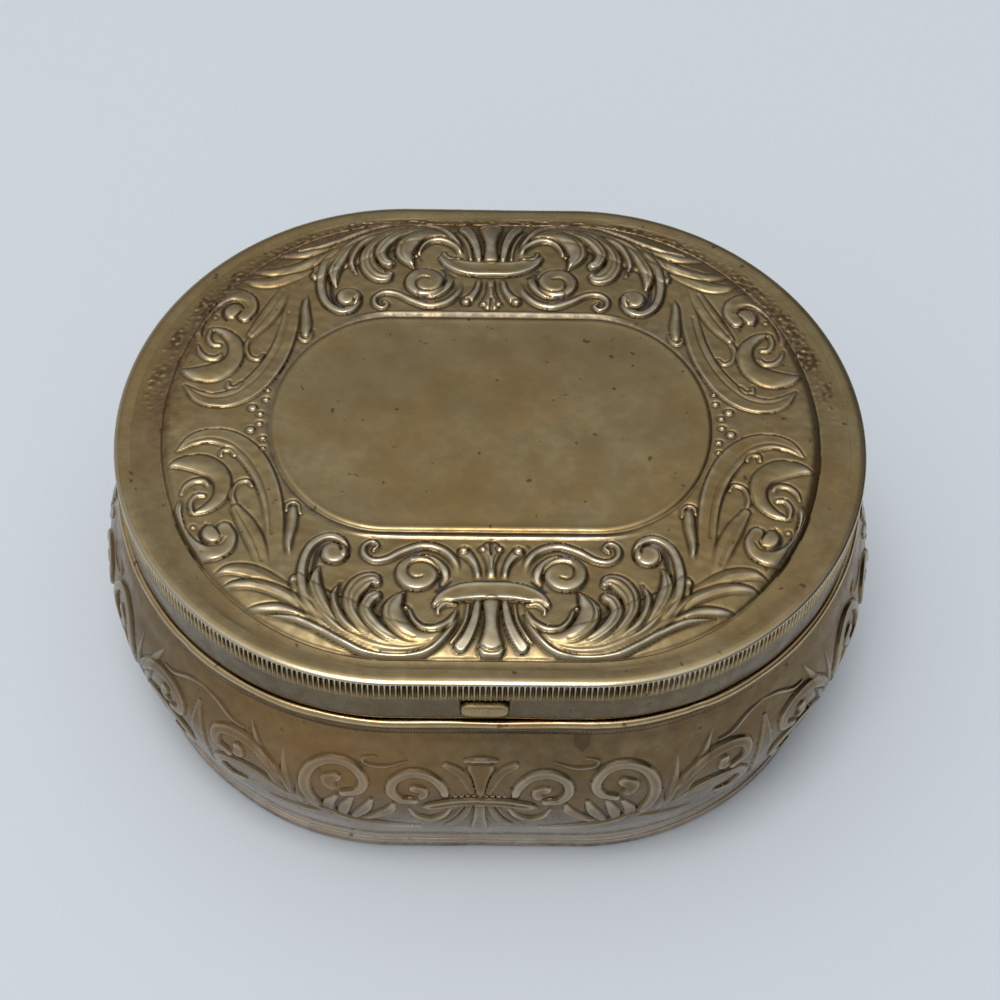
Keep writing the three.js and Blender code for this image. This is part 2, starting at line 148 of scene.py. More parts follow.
# Height of a stroke across its half width, from 0 in its middle to 1 at its edge.
PROFILES = {
    "pillow": lambda t: (1 - 0.5 * t * t) * rounded(t),
    "round": lambda t: rounded(t, 2),
    "flat": lambda t: (1 - 0.12 * t * t) * rounded(t),
    "ridge": lambda t: (1 - 0.6 * t) * rounded(t),
    "dish": lambda t: (0.74 + 0.26 * t ** 3) * rounded(t),
}
CREASE_DEPTH = 0.09      # of the line along a stroke's outline
CREASE_WIDTH = 0.14
EDGE_SOFT = 0.16         # width over which a stroke's edge rises
KEPT_UNDER = 0.25        # share of the older relief that stays under a new stroke
FULL_WIDTH = 0.5         # half width from which a stroke has its full height
VEIN_HALF = 0.12
VEIN_DEPTH = 0.2


def lay(relief, px, py, curve, height, profile, fade, soft, crease):
    """Lays one stroke over the relief, with a crease along its outline.
    Its root melts into what lies under it over the first `fade` of its length."""
    reach = curve[:, 2].max() + 4 * CREASE_WIDTH
    low = curve[:, :2].min(0) - reach
    high = curve[:, :2].max(0) + reach
    near = (px > low[0]) & (px < high[0]) & (py > low[1]) & (py < high[1])
    if not near.any():
        return
    distance, width, along = nearest(px[near], py[near], curve)
    if profile == "groove":
        relief[near] -= height * bump(distance, np.maximum(width, 0.05))
        return
    width = np.maximum(width, 0.02)
    strength = ease(along, 0, fade) if fade else np.ones(along.shape)
    inside = ease(width - distance, -soft, soft) * strength
    rise = height * np.minimum(1, width / FULL_WIDTH) ** 0.6
    body = rise * PROFILES[profile](np.clip(distance / width, 0, 1))
    old = relief[near]
    new = old * (1 - inside) + (KEPT_UNDER * np.minimum(old, height) + body) * inside
    relief[near] = new - strength * crease * bump(distance - width, CREASE_WIDTH)


def veins_of(curve, shifts):
    """Fine grooves along a stroke, each at a share of its half width to one side."""
    step = np.gradient(curve[:, :2], axis=0)
    side = np.column_stack([-step[:, 1], step[:, 0]])
    side = side / np.maximum(np.hypot(side[:, 0], side[:, 1]), 1e-9)[:, None]
    for shift in shifts:
        line = curve.copy()
        line[:, :2] += side * shift * curve[:, 2:]
        line[:, 2] = VEIN_HALF
        yield line[len(line) // 6:]


def carve(px, py, strokes, share, thin=1.0, soft=EDGE_SOFT, crease=CREASE_DEPTH):
    """The relief of a table of strokes, with heights scaled by `share` and widths by `thin`."""
    relief = np.zeros(px.shape)
    for (profile, height, fade, *shifts), *points in strokes:
        curve = spline(points) if len(points) > 1 else dot(*points[0])
        lay(relief, px, py, curve * (1, 1, thin), height * share, profile, fade, soft, crease)
        for line in veins_of(curve, shifts):
            lay(relief, px, py, line * (1, 1, thin), VEIN_DEPTH * share, "groove", 0, soft, crease)
    return relief


# The ornament of a quarter of the lid: x to the side, y towards the rim, in millimetres.
# Each stroke is (profile, height, share of its length over which its root melts in, places of
# its veins), and then its curve's points (x, y, half width). A single point is a dot.
LID_STROKES = (
    # sweeping leaves
    (("pillow", .6, .1, .3, .6), (4, 27.8, .7), (7, 29.4, 1.6), (11, 29.2, 2.2), (15, 27, 2.4),
     (18.6, 24, 1.6), (20, 22, .8)),
    (("ridge", .5, .5), (19.5, 24.6, .6), (22, 22.6, .9), (24.6, 21, .9), (26.8, 20.7, .7),
     (28.6, 21.3, .15)),
    (("ridge", .55, .4), (16, 27, .5), (19, 25.3, .7), (21.6, 23.6, .75), (24.2, 22.6, .7),
     (26.4, 22.6, .5), (28, 23, .1)),
    (("ridge", .55, .4), (16, 28, .4), (19.2, 26.6, .6), (21.4, 25.6, .65), (23.4, 25.5, .55),
     (25.6, 25.6, .1)),
    (("ridge", .7, .1), (3.3, 25.3, .3), (4, 27.8, .4), (5.6, 30, .45), (7.6, 31.05, .45),
     (9.8, 31.3, .45), (12.4, 30.9, .45), (15.2, 29.5, .45), (17.8, 27.9, .45), (20.2, 26.8, .42),
     (22.8, 26.3, .12)),
    # acanthus
    (("pillow", .75, .4, .1), (12.5, 29.2, .4), (15.2, 27.8, .75), (17, 25.5, .85),
     (18, 23.2, .85), (18.1, 21.6, .6), (17.8, 20.3, .2)),
    (("ridge", .75, .4), (12, 29, .4), (14.4, 27.8, .55), (15.7, 25.9, .5), (16.1, 24, .42),
     (15.5, 22.3, .12)),
    (("pillow", .8, .35, -.25, .4), (9.5, 29.8, .4), (12.2, 28.4, .75), (14, 26.1, .9),
     (14.2, 24, 1.05), (13.3, 22.4, 1.15), (12.2, 21.9, .9), (11.7, 22.3, .5)),
    (("pillow", .9, .35, .2), (7.5, 29.8, .4), (10.2, 29, .65), (12, 27.5, .75),
     (12.8, 25.8, .75), (12.4, 24.5, .75), (11.8, 24, .65)),
    (("pillow", 1, .35, .45), (6, 29.2, .4), (8.1, 28.7, .9), (9.6, 27.3, 1.25), (10, 25.8, 1.15),
     (9.6, 24.6, .8), (8.95, 23.4, .12)),
    (("ridge", .75, .1), (3.4, 25.6, .3), (4.2, 27.1, .45), (5.6, 28, .5), (7, 27.9, .42),
     (7.9, 27, .35), (8.4, 25.7, .25)),
    (("round", .5, 0), (8.7, 25.4, .26)),
    # outer scroll
    (("flat", .65, .35), (13, 29.6, .4), (16.8, 27.1, .5), (18.8, 24.5, .6), (19.5, 21.8, .55),
     (19.35, 19.3, .5), (18.6, 17.4, .5), (17.2, 16.35, .5), (15.9, 16.6, .48), (15.2, 17.6, .42),
     (15.2, 18.7, .4)),
    (("flat", .8, 0), (16.25, 18.55, 1.4)),
    (("groove", .45, 0), (15.55, 18.2, .1), (15.8, 17.5, .14), (16.7, 17.15, .18),
     (17.6, 17.6, .26), (18.1, 18.7, .28), (18.3, 20.2, .2), (18.7, 22, .1)),
    # scroll beside the strap
    (("flat", .55, .3), (4.6, 22.4, .3), (4.9, 20.6, .5), (6.3, 19.3, .55), (8, 19.2, .5)),
    (("flat", .75, 0), (7.65, 21.05, 2.25)),
    (("groove", .34, 0), (5.2, 22.6, .1), (5.45, 21, .13), (6.2, 19.95, .15), (7.4, 19.6, .14),
     (8.4, 20.1, .13), (8.55, 21.1, .12), (7.9, 21.75, .12), (7.1, 21.6, .1)),
    (("groove", .3, 0), (4.3, 22, .2), (4.9, 22.6, .3), (5.5, 23.2, .25)),
    (("ridge", .65, .15), (3.4, 21.5, .3), (3.7, 19.6, .45), (5, 18, .5), (7, 17.4, .5),
     (9, 18.1, .5), (10.8, 19.2, .45), (12.2, 19.4, .42), (13.2, 18.6, .4), (13.2, 17.5, .38),
     (12.4, 16.95, .33), (11.8, 17.5, .3), (12.2, 18, .26)),
    # bud
    (("ridge", .45, .2), (20.9, 19, .2), (21.1, 17, .5), (20.9, 14.8, .65), (20.85, 12.8, .65)),
    (("round", .4, 0), (20.1, 13.2, .15), (20.3, 12.2, .25), (20.9, 11.7, .28), (21.5, 12.1, .3),
     (21.6, 12.8, .2)),
    # broad leaf along the plate, with its bright edge towards the side
    (("dish", .55, .4, .3), (21.6, 22, .5), (22.4, 18, .9), (22.8, 14, 1.1), (23.3, 11, 1.2),
     (24.3, 8, 1.3), (25.9, 5.2, 1.4), (28, 3.2, 1.25), (30.2, 2.6, 1.05), (32.2, 3.2, .8),
     (33.7, 4.7, .2)),
    # hooked leaf beside it
    (("pillow", .45, .4, .15), (23, 21.5, .5), (24.3, 17.6, 1), (25.6, 14.8, 1),
     (26.9, 12.6, .6)),
    (("ridge", .5, .2), (26.6, 12.8, .3), (27.4, 10.9, .35), (27, 9.3, .3), (26, 8.8, .3),
     (25.4, 9.5, .2)),
    (("round", .4, 0), (27.6, 5.3, .2), (28.1, 4.6, .3), (28.9, 4.6, .32), (29, 5.3, .25)),
    # volute
    (("flat", .7, .1), (32.7, 11.4, .35), (33, 13.4, .5), (32.5, 15.8, .75), (31.2, 17.8, .95),
     (29.4, 18.7, 1), (27.8, 18, 1), (27.3, 16.6, .85), (27.9, 15.3, .8)),
    (("pillow", .8, .2), (28.6, 15.7, 1), (29, 16, 1.3)),
    (("groove", .3, 0), (27.6, 16.7, .1), (28.1, 17.5, .16), (29.3, 17.6, .2), (30.2, 16.8, .2),
     (30.4, 15.6, .15), (29.9, 14.7, .1)),
    (("round", .3, 0), (31.2, 15.2, .3)),
    # big smooth leaf that rolls under the volute's tip
    (("pillow", .65, 0), (34.6, 7, .12), (33, 6.5, .9), (31, 6.6, 1.35), (29.3, 7.6, 1.2),
     (28.5, 9.3, 1), (28.7, 11.2, .85), (29.9, 12.7, .6), (31.3, 13.4, .25)),
    (("ridge", .5, .1), (29.9, 9.7, .3), (30.6, 8.9, .4), (31.7, 9, .4), (32.5, 9.8, .35),
     (32.8, 10.8, .2)),
    (("round", .55, 0), (30.4, 10.9, .3), (31.2, 11, .35), (31.7, 12, .35), (31.5, 13.2, .3)),
    # berries beside the plate
    *((("round", .5, 0), berry) for berry in (
        (26.1, 1.6, .5), (25.2, 0.7, .36), (24.7, 2.8, .38), (24.6, 4.2, .26))),
    # fan above the strap
    (("pillow", .5, .15), (1.3, 21.8, .35), (1.6, 20.1, .42), (2.2, 18.9, .55), (2.8, 18.2, .7)),
    (("round", .6, 0), (2.85, 18, .5)),
    (("pillow", .5, .15), (0, 21.8, .5), (0, 20, .5), (0, 18.9, .8), (0, 18, 1.2)),
    (("round", .5, 0), (0.92, 17.75, .36)),
    (("groove", .4, 0), (0, 17, .25), (0, 17.8, .2), (0, 18.6, .1)),
    (("groove", .2, 0), (0.2, 20.4, .1), (0.4, 19, .12), (0.75, 18.3, .14)),
    # palmette under the strap
    (("ridge", .45, 0), (2.35, 25, .25), (2.65, 27, .3), (3.4, 28.7, .3), (4.1, 29.6, .12)),
    (("dish", .75, 0), (1.4, 25, .4), (1.75, 27.1, .5), (2.4, 29, .6), (3.1, 30.1, .68)),
    (("pillow", .8, 0), (0, 24.9, .95), (0, 27, .75), (0, 28.6, .95), (0, 29.8, 1.3),
     (0, 30.4, 1.3)),
    (("round", .55, 0), (0, 31, .42), (0.7, 30.85, .42), (1.15, 30.4, .3)),
    # strap, with the hook under its end
    (("dish", .9, 0), (0, 23.25, 1.15), (2, 23.3, 1.15), (3.6, 23.65, 1.05), (4.9, 24.3, .8),
     (5.7, 25, .4)),
    (("round", .6, 0), (3.6, 25, .2), (4.7, 25, .32), (5.4, 25.6, .3), (5.4, 26.1, .18)),
)


# The ornament of an eighth of the wall: x along it from the ornament's middle, y up.
WALL_STROKES = (
    # leaves in a V between two scroll groups
    (("flat", .6, .3), (18.9, 9.5, .4), (18.8, 12, .6), (18.7, 15.5, .15)),
    (("flat", .6, .3), (19.4, 10, .4), (19.9, 15, .7), (20.3, 20.5, .15)),
    (("flat", .7, .3), (20, 9.8, .4), (21.3, 14.5, .8), (22.9, 18.8, .7), (24.3, 22, .15)),
    # second group of scrolls
    (("flat", .9, .2), (19.9, 12.5, .4), (20.9, 16, .8), (23.2, 18.5, 1.05), (26, 19, 1),
     (28, 18, .9), (28.1, 16, .8), (26.6, 15.1, .7)),
    (("flat", .8, .3), (26.6, 15.5, .5), (25.3, 16, .8), (25.4, 17, .85)),
    (("flat", .9, .2), (19.8, 11, .5), (22.3, 13.4, .9), (25, 14, .9), (27.6, 13, .9),
     (28.6, 11.2, .8), (27.4, 9.7, .7), (25.6, 9.9, .5)),
    (("ridge", .7, .2), (16.4, 9.2, .3), (18.6, 8.6, .7), (21, 8.2, .7), (22.9, 8.4, .15)),
    (("ridge", .7, .1), (24.4, 20.2, .3), (26.4, 20.4, .45), (28.6, 21.5, .5), (30.6, 22, .4)),
    (("dish", .8, 0), (30.6, 8, .3), (30.6, 12, 1.1), (30.6, 16, 1.1), (30.6, 20, .3)),
    # outer scroll with its stem
    (("flat", 1, .15), (14.6, 8.3, .5), (16.6, 11, .9), (17.8, 14, .9), (17.9, 17, .85),
     (16.9, 19.3, .8), (15, 20.4, .75), (13, 19.9, .75), (12, 18, .72), (12.5, 16.3, .7),
     (14, 15.4, .65)),
    (("flat", .8, .3), (13.9, 16, .5), (15.2, 16.3, .8), (15.6, 17.4, 1), (14.8, 18, .95)),
    # acanthus lobes
    *((("flat", .85, .3), (13.6, 8.6, .3), ((13.6 + tip_x) / 2 + bend, 10.3, .7),
       (tip_x + 0.5 + bend * 0.3, 12.4, .85), (tip_x, tip_y, .4))
      for tip_x, tip_y, bend in ((14.8, 14.4, 1.2), (13.2, 14.8, 0.9), (11.3, 14.6, 0.5),
                                 (9.1, 13.9, 0))),
    # long contour under the lobes
    (("ridge", 1.1, 0), (6.4, 6.6, .25), (9, 7, .6), (11.5, 8, .75), (14, 9.4, .75),
     (16.4, 11.4, .3)),
    # inner scroll
    (("flat", 1, .1), (3.6, 14.6, .5), (3.9, 17, .7), (5.2, 18.8, .75), (7.2, 19.3, .75),
     (8.9, 18.4, .75), (9.3, 16.6, .75), (8.4, 15, .7), (6.9, 14.7, .65)),
    (("flat", .8, .3), (7.2, 15.1, .5), (6.1, 15.6, .7), (6, 16.6, .8), (6.9, 17, .8)),
    (("ridge", .6, 0), (7.6, 20.7, .25), (9.8, 20.1, .4), (11.8, 20.3, .4), (12.1, 21, .35),
     (10.9, 21.3, .25)),
    # hook under the strap
    (("ridge", 1, 0), (3, 13.2, .3), (3.8, 11.2, .6), (5.2, 10.1, .75), (6.7, 10.9, .6),
     (7.5, 12.9, .25)),
    # palmette under the strap
    (("ridge", .7, 0), (1.7, 13.6, .3), (3, 10.4, .5), (4.9, 7.4, .2)),
    (("dish", .9, 0), (1, 13.6, .4), (1.9, 10.6, .7), (3, 8.1, .8)),
    (("dish", 1.1, 0), (0, 13.9, .75), (0, 10.5, .9), (0, 8, 1.2), (0, 6.5, 1.3)),
    # fan above the strap
    (("dish", .7, 0), (0.9, 16.4, .5), (1.5, 18.3, .7), (2.4, 19.6, .75), (3.6, 20.3, .6)),
    (("dish", .9, 0), (0, 16.4, .6), (0, 18.5, 1.1), (0, 19.9, 1.9)),
    (("round", .9, 0), (0, 21, .45), (0.8, 21, .45), (1.6, 20.9, .35)),
    # strap with a row of beads over it
    *((("round", .8, 0), (0.65 * step, 15.75 - 0.03 * step, .34)) for step in range(5)),
    (("dish", 1.1, 0), (0, 14.5, .9), (2.5, 14.3, .9), (5, 13.6, .8), (6, 13.3, .3)),
    (("groove", .25, 0), (0, 14.5, .16), (2.5, 14.3, .16), (5, 13.6, .14)),
)


# Mesh building.
OVAL_STEPS = 4001


def round_the_oval(shape, stations=None, count=None):
    """Points round an oval, evenly spaced from the middle of the front towards +X, or at the
    given distances from there, with their outward normals and the distances."""
    turn = np.linspace(-math.pi / 2, math.pi / 2, OVAL_STEPS)
    along, across = np.cos(turn), np.sin(turn)
    nx, ny = along / shape["a"], across / shape["b"]
    size = np.hypot(nx, ny)
    nx, ny = nx / size, ny / size

    def whole(x, y):
        return np.concatenate([[0], x, -x[::-1], [0]]), np.concatenate([y[:1], y, y[::-1], y[:1]])

    px, py = whole(shape["straight"] + shape["a"] * along, shape["b"] * across)
    qx, qy = whole(nx, ny)
    length = np.concatenate([[0], np.cumsum(np.hypot(np.diff(px), np.diff(py)))])
    if stations is None:
        stations = np.arange(count) * length[-1] / count
    px, py, qx, qy = (np.interp(stations % length[-1], length, v) for v in (px, py, qx, qy))
    size = np.hypot(qx, qy)
    return np.column_stack([px, py]), np.column_stack([qx / size, qy / size]), stations


def perimeter(count=4):
    """The length round the rim."""
    return round_the_oval(RIM, count=count)[2][1] * count


def swept(points, normals, out, z):
    """The grid [row, column, xyz] at offsets and heights round an outline."""
    return np.concatenate([points[None] + out[..., None] * normals[None], z[..., None]], axis=2)


def placed(name, data):
    piece = bpy.data.objects.new(name, data)
    bpy.context.scene.collection.objects.link(piece)
    return piece


def skin(name, grid, values=None, wrap_rows=True, wrap_columns=True, sharp=50):
    """A closed mesh over a grid of points, [row, column, xyz]. Open ends are capped."""
    rows, columns = grid.shape[:2]
    index = np.arange(rows * columns).reshape(rows, columns)
    right, up = np.roll(index, -1, 1), np.roll(index, -1, 0)
    used = (slice(rows if wrap_rows else rows - 1), slice(columns if wrap_columns else columns - 1))
    corners = (index, right, np.roll(right, -1, 0), up)
    faces = np.stack([corner[used].ravel() for corner in corners], axis=1).tolist()
    if not wrap_rows:
        faces += [index[0, ::-1].tolist(), index[-1].tolist()]
    if not wrap_columns:
        faces += [index[:, 0].tolist(), index[::-1, -1].tolist()]
    mesh = bpy.data.meshes.new(name)
    mesh.from_pydata((grid.reshape(-1, 3) * MM).tolist(), [], faces)
    return finish_mesh(name, mesh, values, sharp)


def finish_mesh(name, mesh, values=None, sharp=50):
    bm = bmesh.new()
    bm.from_mesh(mesh)
    if bm.calc_volume(signed=True) < 0:
        bmesh.ops.reverse_faces(bm, faces=bm.faces)
    bm.to_mesh(mesh)
    bm.free()
    mesh.polygons.foreach_set("use_smooth", [True] * len(mesh.polygons))
    mesh.set_sharp_from_angle(angle=math.radians(sharp))
    for key, value in (values or {}).items():
        attribute = mesh.attributes.new(key, "FLOAT", "POINT")
        attribute.data.foreach_set("value", value.ravel().astype(np.float32))
    return placed(name, mesh)


def spread(section, count):
    """The offsets and heights of a section, each repeated for every station."""
    return (np.repeat(values[:, None], count, axis=1) for values in np.array(section, float).T)


def per_row(section, rule):
    """What the rule says of each row's offset and height, as a column."""
    return np.array([[rule(out, z)] for out, z in section])


def arc(out, z, radius, start, end, steps):
    """Part of a section. Angles are in half turns, from outwards towards up."""
    turns = [math.pi * (start + (end - start) * step / steps) for step in range(steps + 1)]
    return [(out + radius * math.cos(turn), z + radius * math.sin(turn)) for turn in turns]


def hoop(name, section, wave, stations=None, count=None, values=None):
    """A closed section, rows of (offset from the rim's outline, height), swept round the rim.
    `wave` gives the changes of offset and height for each row and distance along the rim."""
    points, normals, where = round_the_oval(RIM, stations, count)
    out, z = spread(section, len(where))
    more_out, more_z = wave(out, z, where)
    out, z = out + more_out, z + more_z
    return skin(name, swept(points, normals, out, z), values, wrap_columns=stations is None)


def slab(x0, x1, y0, y1, z0, z1, bevel=0.08, segments=2):
    """A box with rounded edges, as a bmesh in millimetres."""
    bm = bmesh.new()
    bmesh.ops.create_cube(bm, size=1)
    size = (x1 - x0, y1 - y0, z1 - z0)
    middle = ((x0 + x1) / 2, (y0 + y1) / 2, (z0 + z1) / 2)
    for vert in bm.verts:
        vert.co = Vector(m + v * s for m, v, s in zip(middle, vert.co, size))
    bmesh.ops.bevel(bm, geom=bm.edges[:], offset=bevel, segments=segments, affect="EDGES",
                    profile=0.5)
    return bm


def joined(name, *parts):
    """One object from several bmeshes in millimetres."""
    whole = bmesh.new()
    for part in parts:
        scratch = bpy.data.meshes.new("scratch")
        part.to_mesh(scratch)
        part.free()
        whole.from_mesh(scratch)
        bpy.data.meshes.remove(scratch)
    bmesh.ops.recalc_face_normals(whole, faces=whole.faces)
    bmesh.ops.scale(whole, vec=(MM, MM, MM), verts=whole.verts)
    mesh = bpy.data.meshes.new(name)
    whole.to_mesh(mesh)
    whole.free()
    return finish_mesh(name, mesh, sharp=35)


def cut_out(piece, play, inward, low, high, bevel, segments):
    """Takes the place of the tab's face, with some play at its sides, out of the piece's front."""
    half = TAB_HALF + play
    y = -RIM["b"]
    cutter = joined("cutter", slab(TAB_MIDDLE - half, TAB_MIDDLE + half, y - 1, y + inward,
                                   low, high, bevel, segments))
    modifier = piece.modifiers.new("cut", "BOOLEAN")
    modifier.operation = "DIFFERENCE"
    modifier.solver = "EXACT"
    modifier.object = cutter
    bpy.context.view_layer.update()
    shaped = bpy.data.meshes.new_from_object(
        piece.evaluated_get(bpy.context.evaluated_depsgraph_get()))
    piece.modifiers.clear()
    piece.data = shaped
    bpy.data.objects.remove(cutter)
    shaped.set_sharp_from_angle(angle=math.radians(40))
    return piece


def coat(piece, material):
    piece.data.materials.clear()
    piece.data.materials.append(material)


def dress(piece, body, material, node):
    coat(piece, material)
    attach(piece, body)
    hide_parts(node)


# Materials.
class Nodes:
    """Wires the nodes of a material or of the world."""

    def __init__(self, owner, shader="Principled BSDF", place="Object"):
        owner.use_nodes = True
        self.tree = owner.node_tree
        self.shader = self.tree.nodes[shader]
        self.place = self.add("ShaderNodeTexCoord").outputs[place]

    def add(self, kind, **settings):
        node = self.tree.nodes.new(kind)
        for key, value in settings.items():
            if key in node.inputs:
                node.inputs[key].default_value = value
            else:
                setattr(node, key, value)
        return node

    def link(self, source, target):
        self.tree.links.new(source, target)

    def feed(self, socket, value):
        if isinstance(value, bpy.types.NodeSocket):
            self.link(value, socket)
        else:
            socket.default_value = (*value, 1) if isinstance(value, tuple) else value

    def put(self, name, value):
        self.feed(self.shader.inputs[name], value)

    def noise(self, scale, detail, seed):
        node = self.add("ShaderNodeTexNoise", noise_dimensions="4D", Scale=scale, Detail=detail,
                        Roughness=0.55, W=seed)
        self.link(self.place, node.inputs["Vector"])
        return node.outputs["Fac"]

    def ramp(self, source, low, high, to_value=1.0, from_value=0.0):
        node = self.add("ShaderNodeMapRange", interpolation_type="SMOOTHSTEP", **{
            "From Min": low, "From Max": high, "To Min": from_value, "To Max": to_value})
        self.link(source, node.inputs["Value"])
        return node.outputs["Result"]

    def mix(self, share, first, second):
        node = self.add("ShaderNodeMix", data_type="RGBA")
        for number, value in ((6, first), (7, second), (0, share)):
            self.feed(node.inputs[number], value)
        return node.outputs[2]

    def math(self, operation, first, second):
        node = self.add("ShaderNodeMath", operation=operation)
        for socket, value in zip(node.inputs, (first, second)):
            self.feed(socket, value)
        return node.outputs[0]

    def attribute(self, name):
        return self.add("ShaderNodeAttribute", attribute_name=name).outputs["Fac"]


def shade(color, share):
    return tuple(share * channel for channel in color)


# What lies on the brass.
# Paler tint of worn edges; on proud places it also stands in as a painted highlight.
WEAR_AND_HIGHLIGHT = (0.72, 0.63, 0.48)
DARK = (0.035, 0.025, 0.014)
RED_BROWN = (0.16, 0.085, 0.045)
GREY = (0.115, 0.105, 0.115)
AMBER = (0.4, 0.2, 0.06)
# Paler base for the lower wall: a painted reflection of the bright floor.
FLOOR_REFLECTION_TINT = (0.62, 0.55, 0.47)
GRAIN_HEIGHT = 0.00006


def aged_brass(name, color, rough=0.28, warm=0.5, specks=0.6):
    """Satin brass with a mottled patina; its recesses are darker and duller, partly patina and
    partly painted shade. The meshes' attributes say where: hollow (patina and painted shade in
    recesses), worn (paler, smoother worn edges that also act as a painted highlight), rust
    (red-brown film), grime (grey deposit), amber (warm tint) and pale (painted reflection of the
    bright floor on the lower wall)."""
    material = bpy.data.materials.new(name)
    n = Nodes(material)
    base = n.mix(n.ramp(n.noise(60, 4, 1), 0.35, 0.65), color, shade(color, 0.8))
    orange = (color[0] * 0.98, color[1] * 0.78, color[2] * 0.5)
    fine = n.noise(700, 4, 3)
    recess_patina_and_shade = n.ramp(n.attribute("patina_and_shade"), 0.2, 1.0, 0.88)
    worn = n.ramp(n.attribute("worn"), 0.1, 0.9, 0.62)
    grit = n.ramp(n.noise(1100, 3, 6), 0.38, 0.62)
    broken = n.math("ADD", n.math("MULTIPLY", grit, 0.7), 0.3)
    rust = n.math("MULTIPLY", n.attribute("rust"), broken)
    grime = n.math("MULTIPLY", n.attribute("grime"), n.ramp(n.noise(1000, 3, 7), 0.3, 0.6))
    clouded = n.ramp(n.noise(180, 4, 11), 0.3, 0.6, 1.0, 0.82)
    # mottling from coarse to fine, specks and stains, patina and painted shade in recesses, worn
    # edges that double as painted highlights, films, a warm tint and the painted floor reflection
    for share, tint in (
            (n.ramp(n.noise(35, 5, 2), 0.5, 0.68, warm), orange),
            (n.ramp(n.noise(240, 4, 10), 0.42, 0.66, 0.5), shade(orange, 0.72)),
            (n.ramp(fine, 0.3, 0.7, 0.6), shade(color, 0.6)),
            (n.ramp(n.noise(900, 1, 4), 0.70, 0.76, specks), DARK),
            (n.ramp(n.noise(210, 3, 5), 0.69, 0.78, specks * 0.7), shade(DARK, 2.2)),
            (recess_patina_and_shade, shade(DARK, 1.6)), (worn, WEAR_AND_HIGHLIGHT), (rust, RED_BROWN), (grime, GREY),
            (n.attribute("amber"), AMBER),
            (n.math("MULTIPLY", n.attribute("painted_reflection"), clouded), FLOOR_REFLECTION_TINT)):
        base = n.mix(share, base, tint)
    n.put("Base Color", base)
    n.put("Metallic", 1.0)
    # films are duller, worn edges smoother
    film = n.math("MAXIMUM", n.math("MAXIMUM", rust, grime), n.math("MULTIPLY", recess_patina_and_shade, 0.4))
    satin = n.ramp(fine, 0.3, 0.7, rough + 0.08, rough - 0.04)
    satin = n.math("SUBTRACT", satin, n.math("MULTIPLY", worn, 0.08))
    n.put("Roughness", n.math("ADD", satin, n.math("MULTIPLY", film, 0.3)))
    # fine grain, rougher under the films
    grain = n.math("ADD", n.math("MULTIPLY", n.noise(1500, 3, 8), 0.35), n.noise(320, 4, 9))
    grain = n.math("ADD", grain, n.math("MULTIPLY", n.math("MULTIPLY", grit, film), 0.8))
    bump_node = n.add("ShaderNodeBump", Strength=0.35, Distance=GRAIN_HEIGHT)
    n.link(grain, bump_node.inputs["Height"])
    n.put("Normal", bump_node.outputs["Normal"])
    return material


LID_BRASS = aged_brass("lid_brass", (0.49, 0.368, 0.188))
RIM_BRASS = aged_brass("rim_brass", (0.5, 0.38, 0.2), 0.22)
SKIRT_BRASS = aged_brass("skirt_brass", (0.2, 0.155, 0.095), 0.26)
WALL_BRASS = aged_brass("wall_brass", (0.235, 0.162, 0.083), 0.22, 0.7)
BEAD_BRASS = aged_brass("bead_brass", (0.62, 0.46, 0.25), 0.18)
# The foot's brass is paler: a painted reflection of the bright floor.
FOOT_BRASS = aged_brass("foot_brass", (0.6, 0.5, 0.41), 0.18)
INNER_BRASS = aged_brass("inner_brass", (0.5, 0.38, 0.18), 0.3, 0.3, 0.3)
STEEL = aged_brass("spring_steel", (0.36, 0.35, 0.33), 0.32, 0.1, 0.3)


def hollows(height, rounds=24, depth=0.13):
    """How far each point of a grid lies below and above its smoothed surroundings, from 0 to 1."""
    smooth = height.copy()
    for _ in range(rounds):
        up = np.vstack([smooth[:1], smooth[:-1]])
        down = np.vstack([smooth[1:], smooth[-1:]])
        smooth = (np.roll(smooth, 1, 1) + np.roll(smooth, -1, 1) + up + down) / 4
    return np.clip((smooth - height) / depth, 0, 1), np.clip((height - smooth) / depth, 0, 1)


def mirrored(count, parts):
    """For each column round an oval, the one in the first half part that it repeats or mirrors."""
    part = count // parts
    column = np.arange(count) % part
    return np.minimum(column, part - column)


def brown_film(x, y):
    """The uneven brown film on the lid's plain border."""
    return 0.1 + 0.16 * ease(ripple(x, y, 6, 18), -0.6, 0.8)


def back_corners(x, y, left_from, right_from, right_share):
    """How far a place lies in the lid's back corners, where a red-brown film has gathered."""
    left = ease(y * 0.9 - x * 0.65, left_from, left_from + 18)
    right = ease(y * 0.7 + x * 0.75, right_from, right_from + 14)
    return np.maximum(left, right_share * right)


# Lid top: border, carved field and the bare plate.
LID_COLUMNS = 1400
BORDER_ROWS = 26
FIELD_ROWS = 112
PLATE_ROWS = 30
FLANGE = -0.5            # offset of the lid's edge, under the rim
STEP = -1.79             # offset of the step from there up to the border
BORDER_OUT = -1.82
BORDER_SAG = 0.04
CRUMB_HEIGHT = 0.14
RELIEF_SHARE = 0.48
FIELD_SLOPE = 4.2        # width over which the field rises from the border, in front
SIDE_SLOPE = 1.3         # and at the sides
SIDE_FLATTER = 0.35      # share by which the carving is lower at the sides
FIELD_IN = 0.3           # offset of the field's inner edge from the plate's outline
# Places in each quarter where grey deposit has gathered: x, y, radius.
DEPOSITS = ((4.7, 21.6, 0.9), (5.4, 23, 0.7), (7.8, 18.4, 0.6), (17.6, 17.6, 0.8),
            (18.5, 19, 0.7), (30.8, 16.7, 0.7), (25, 2, 1.5))


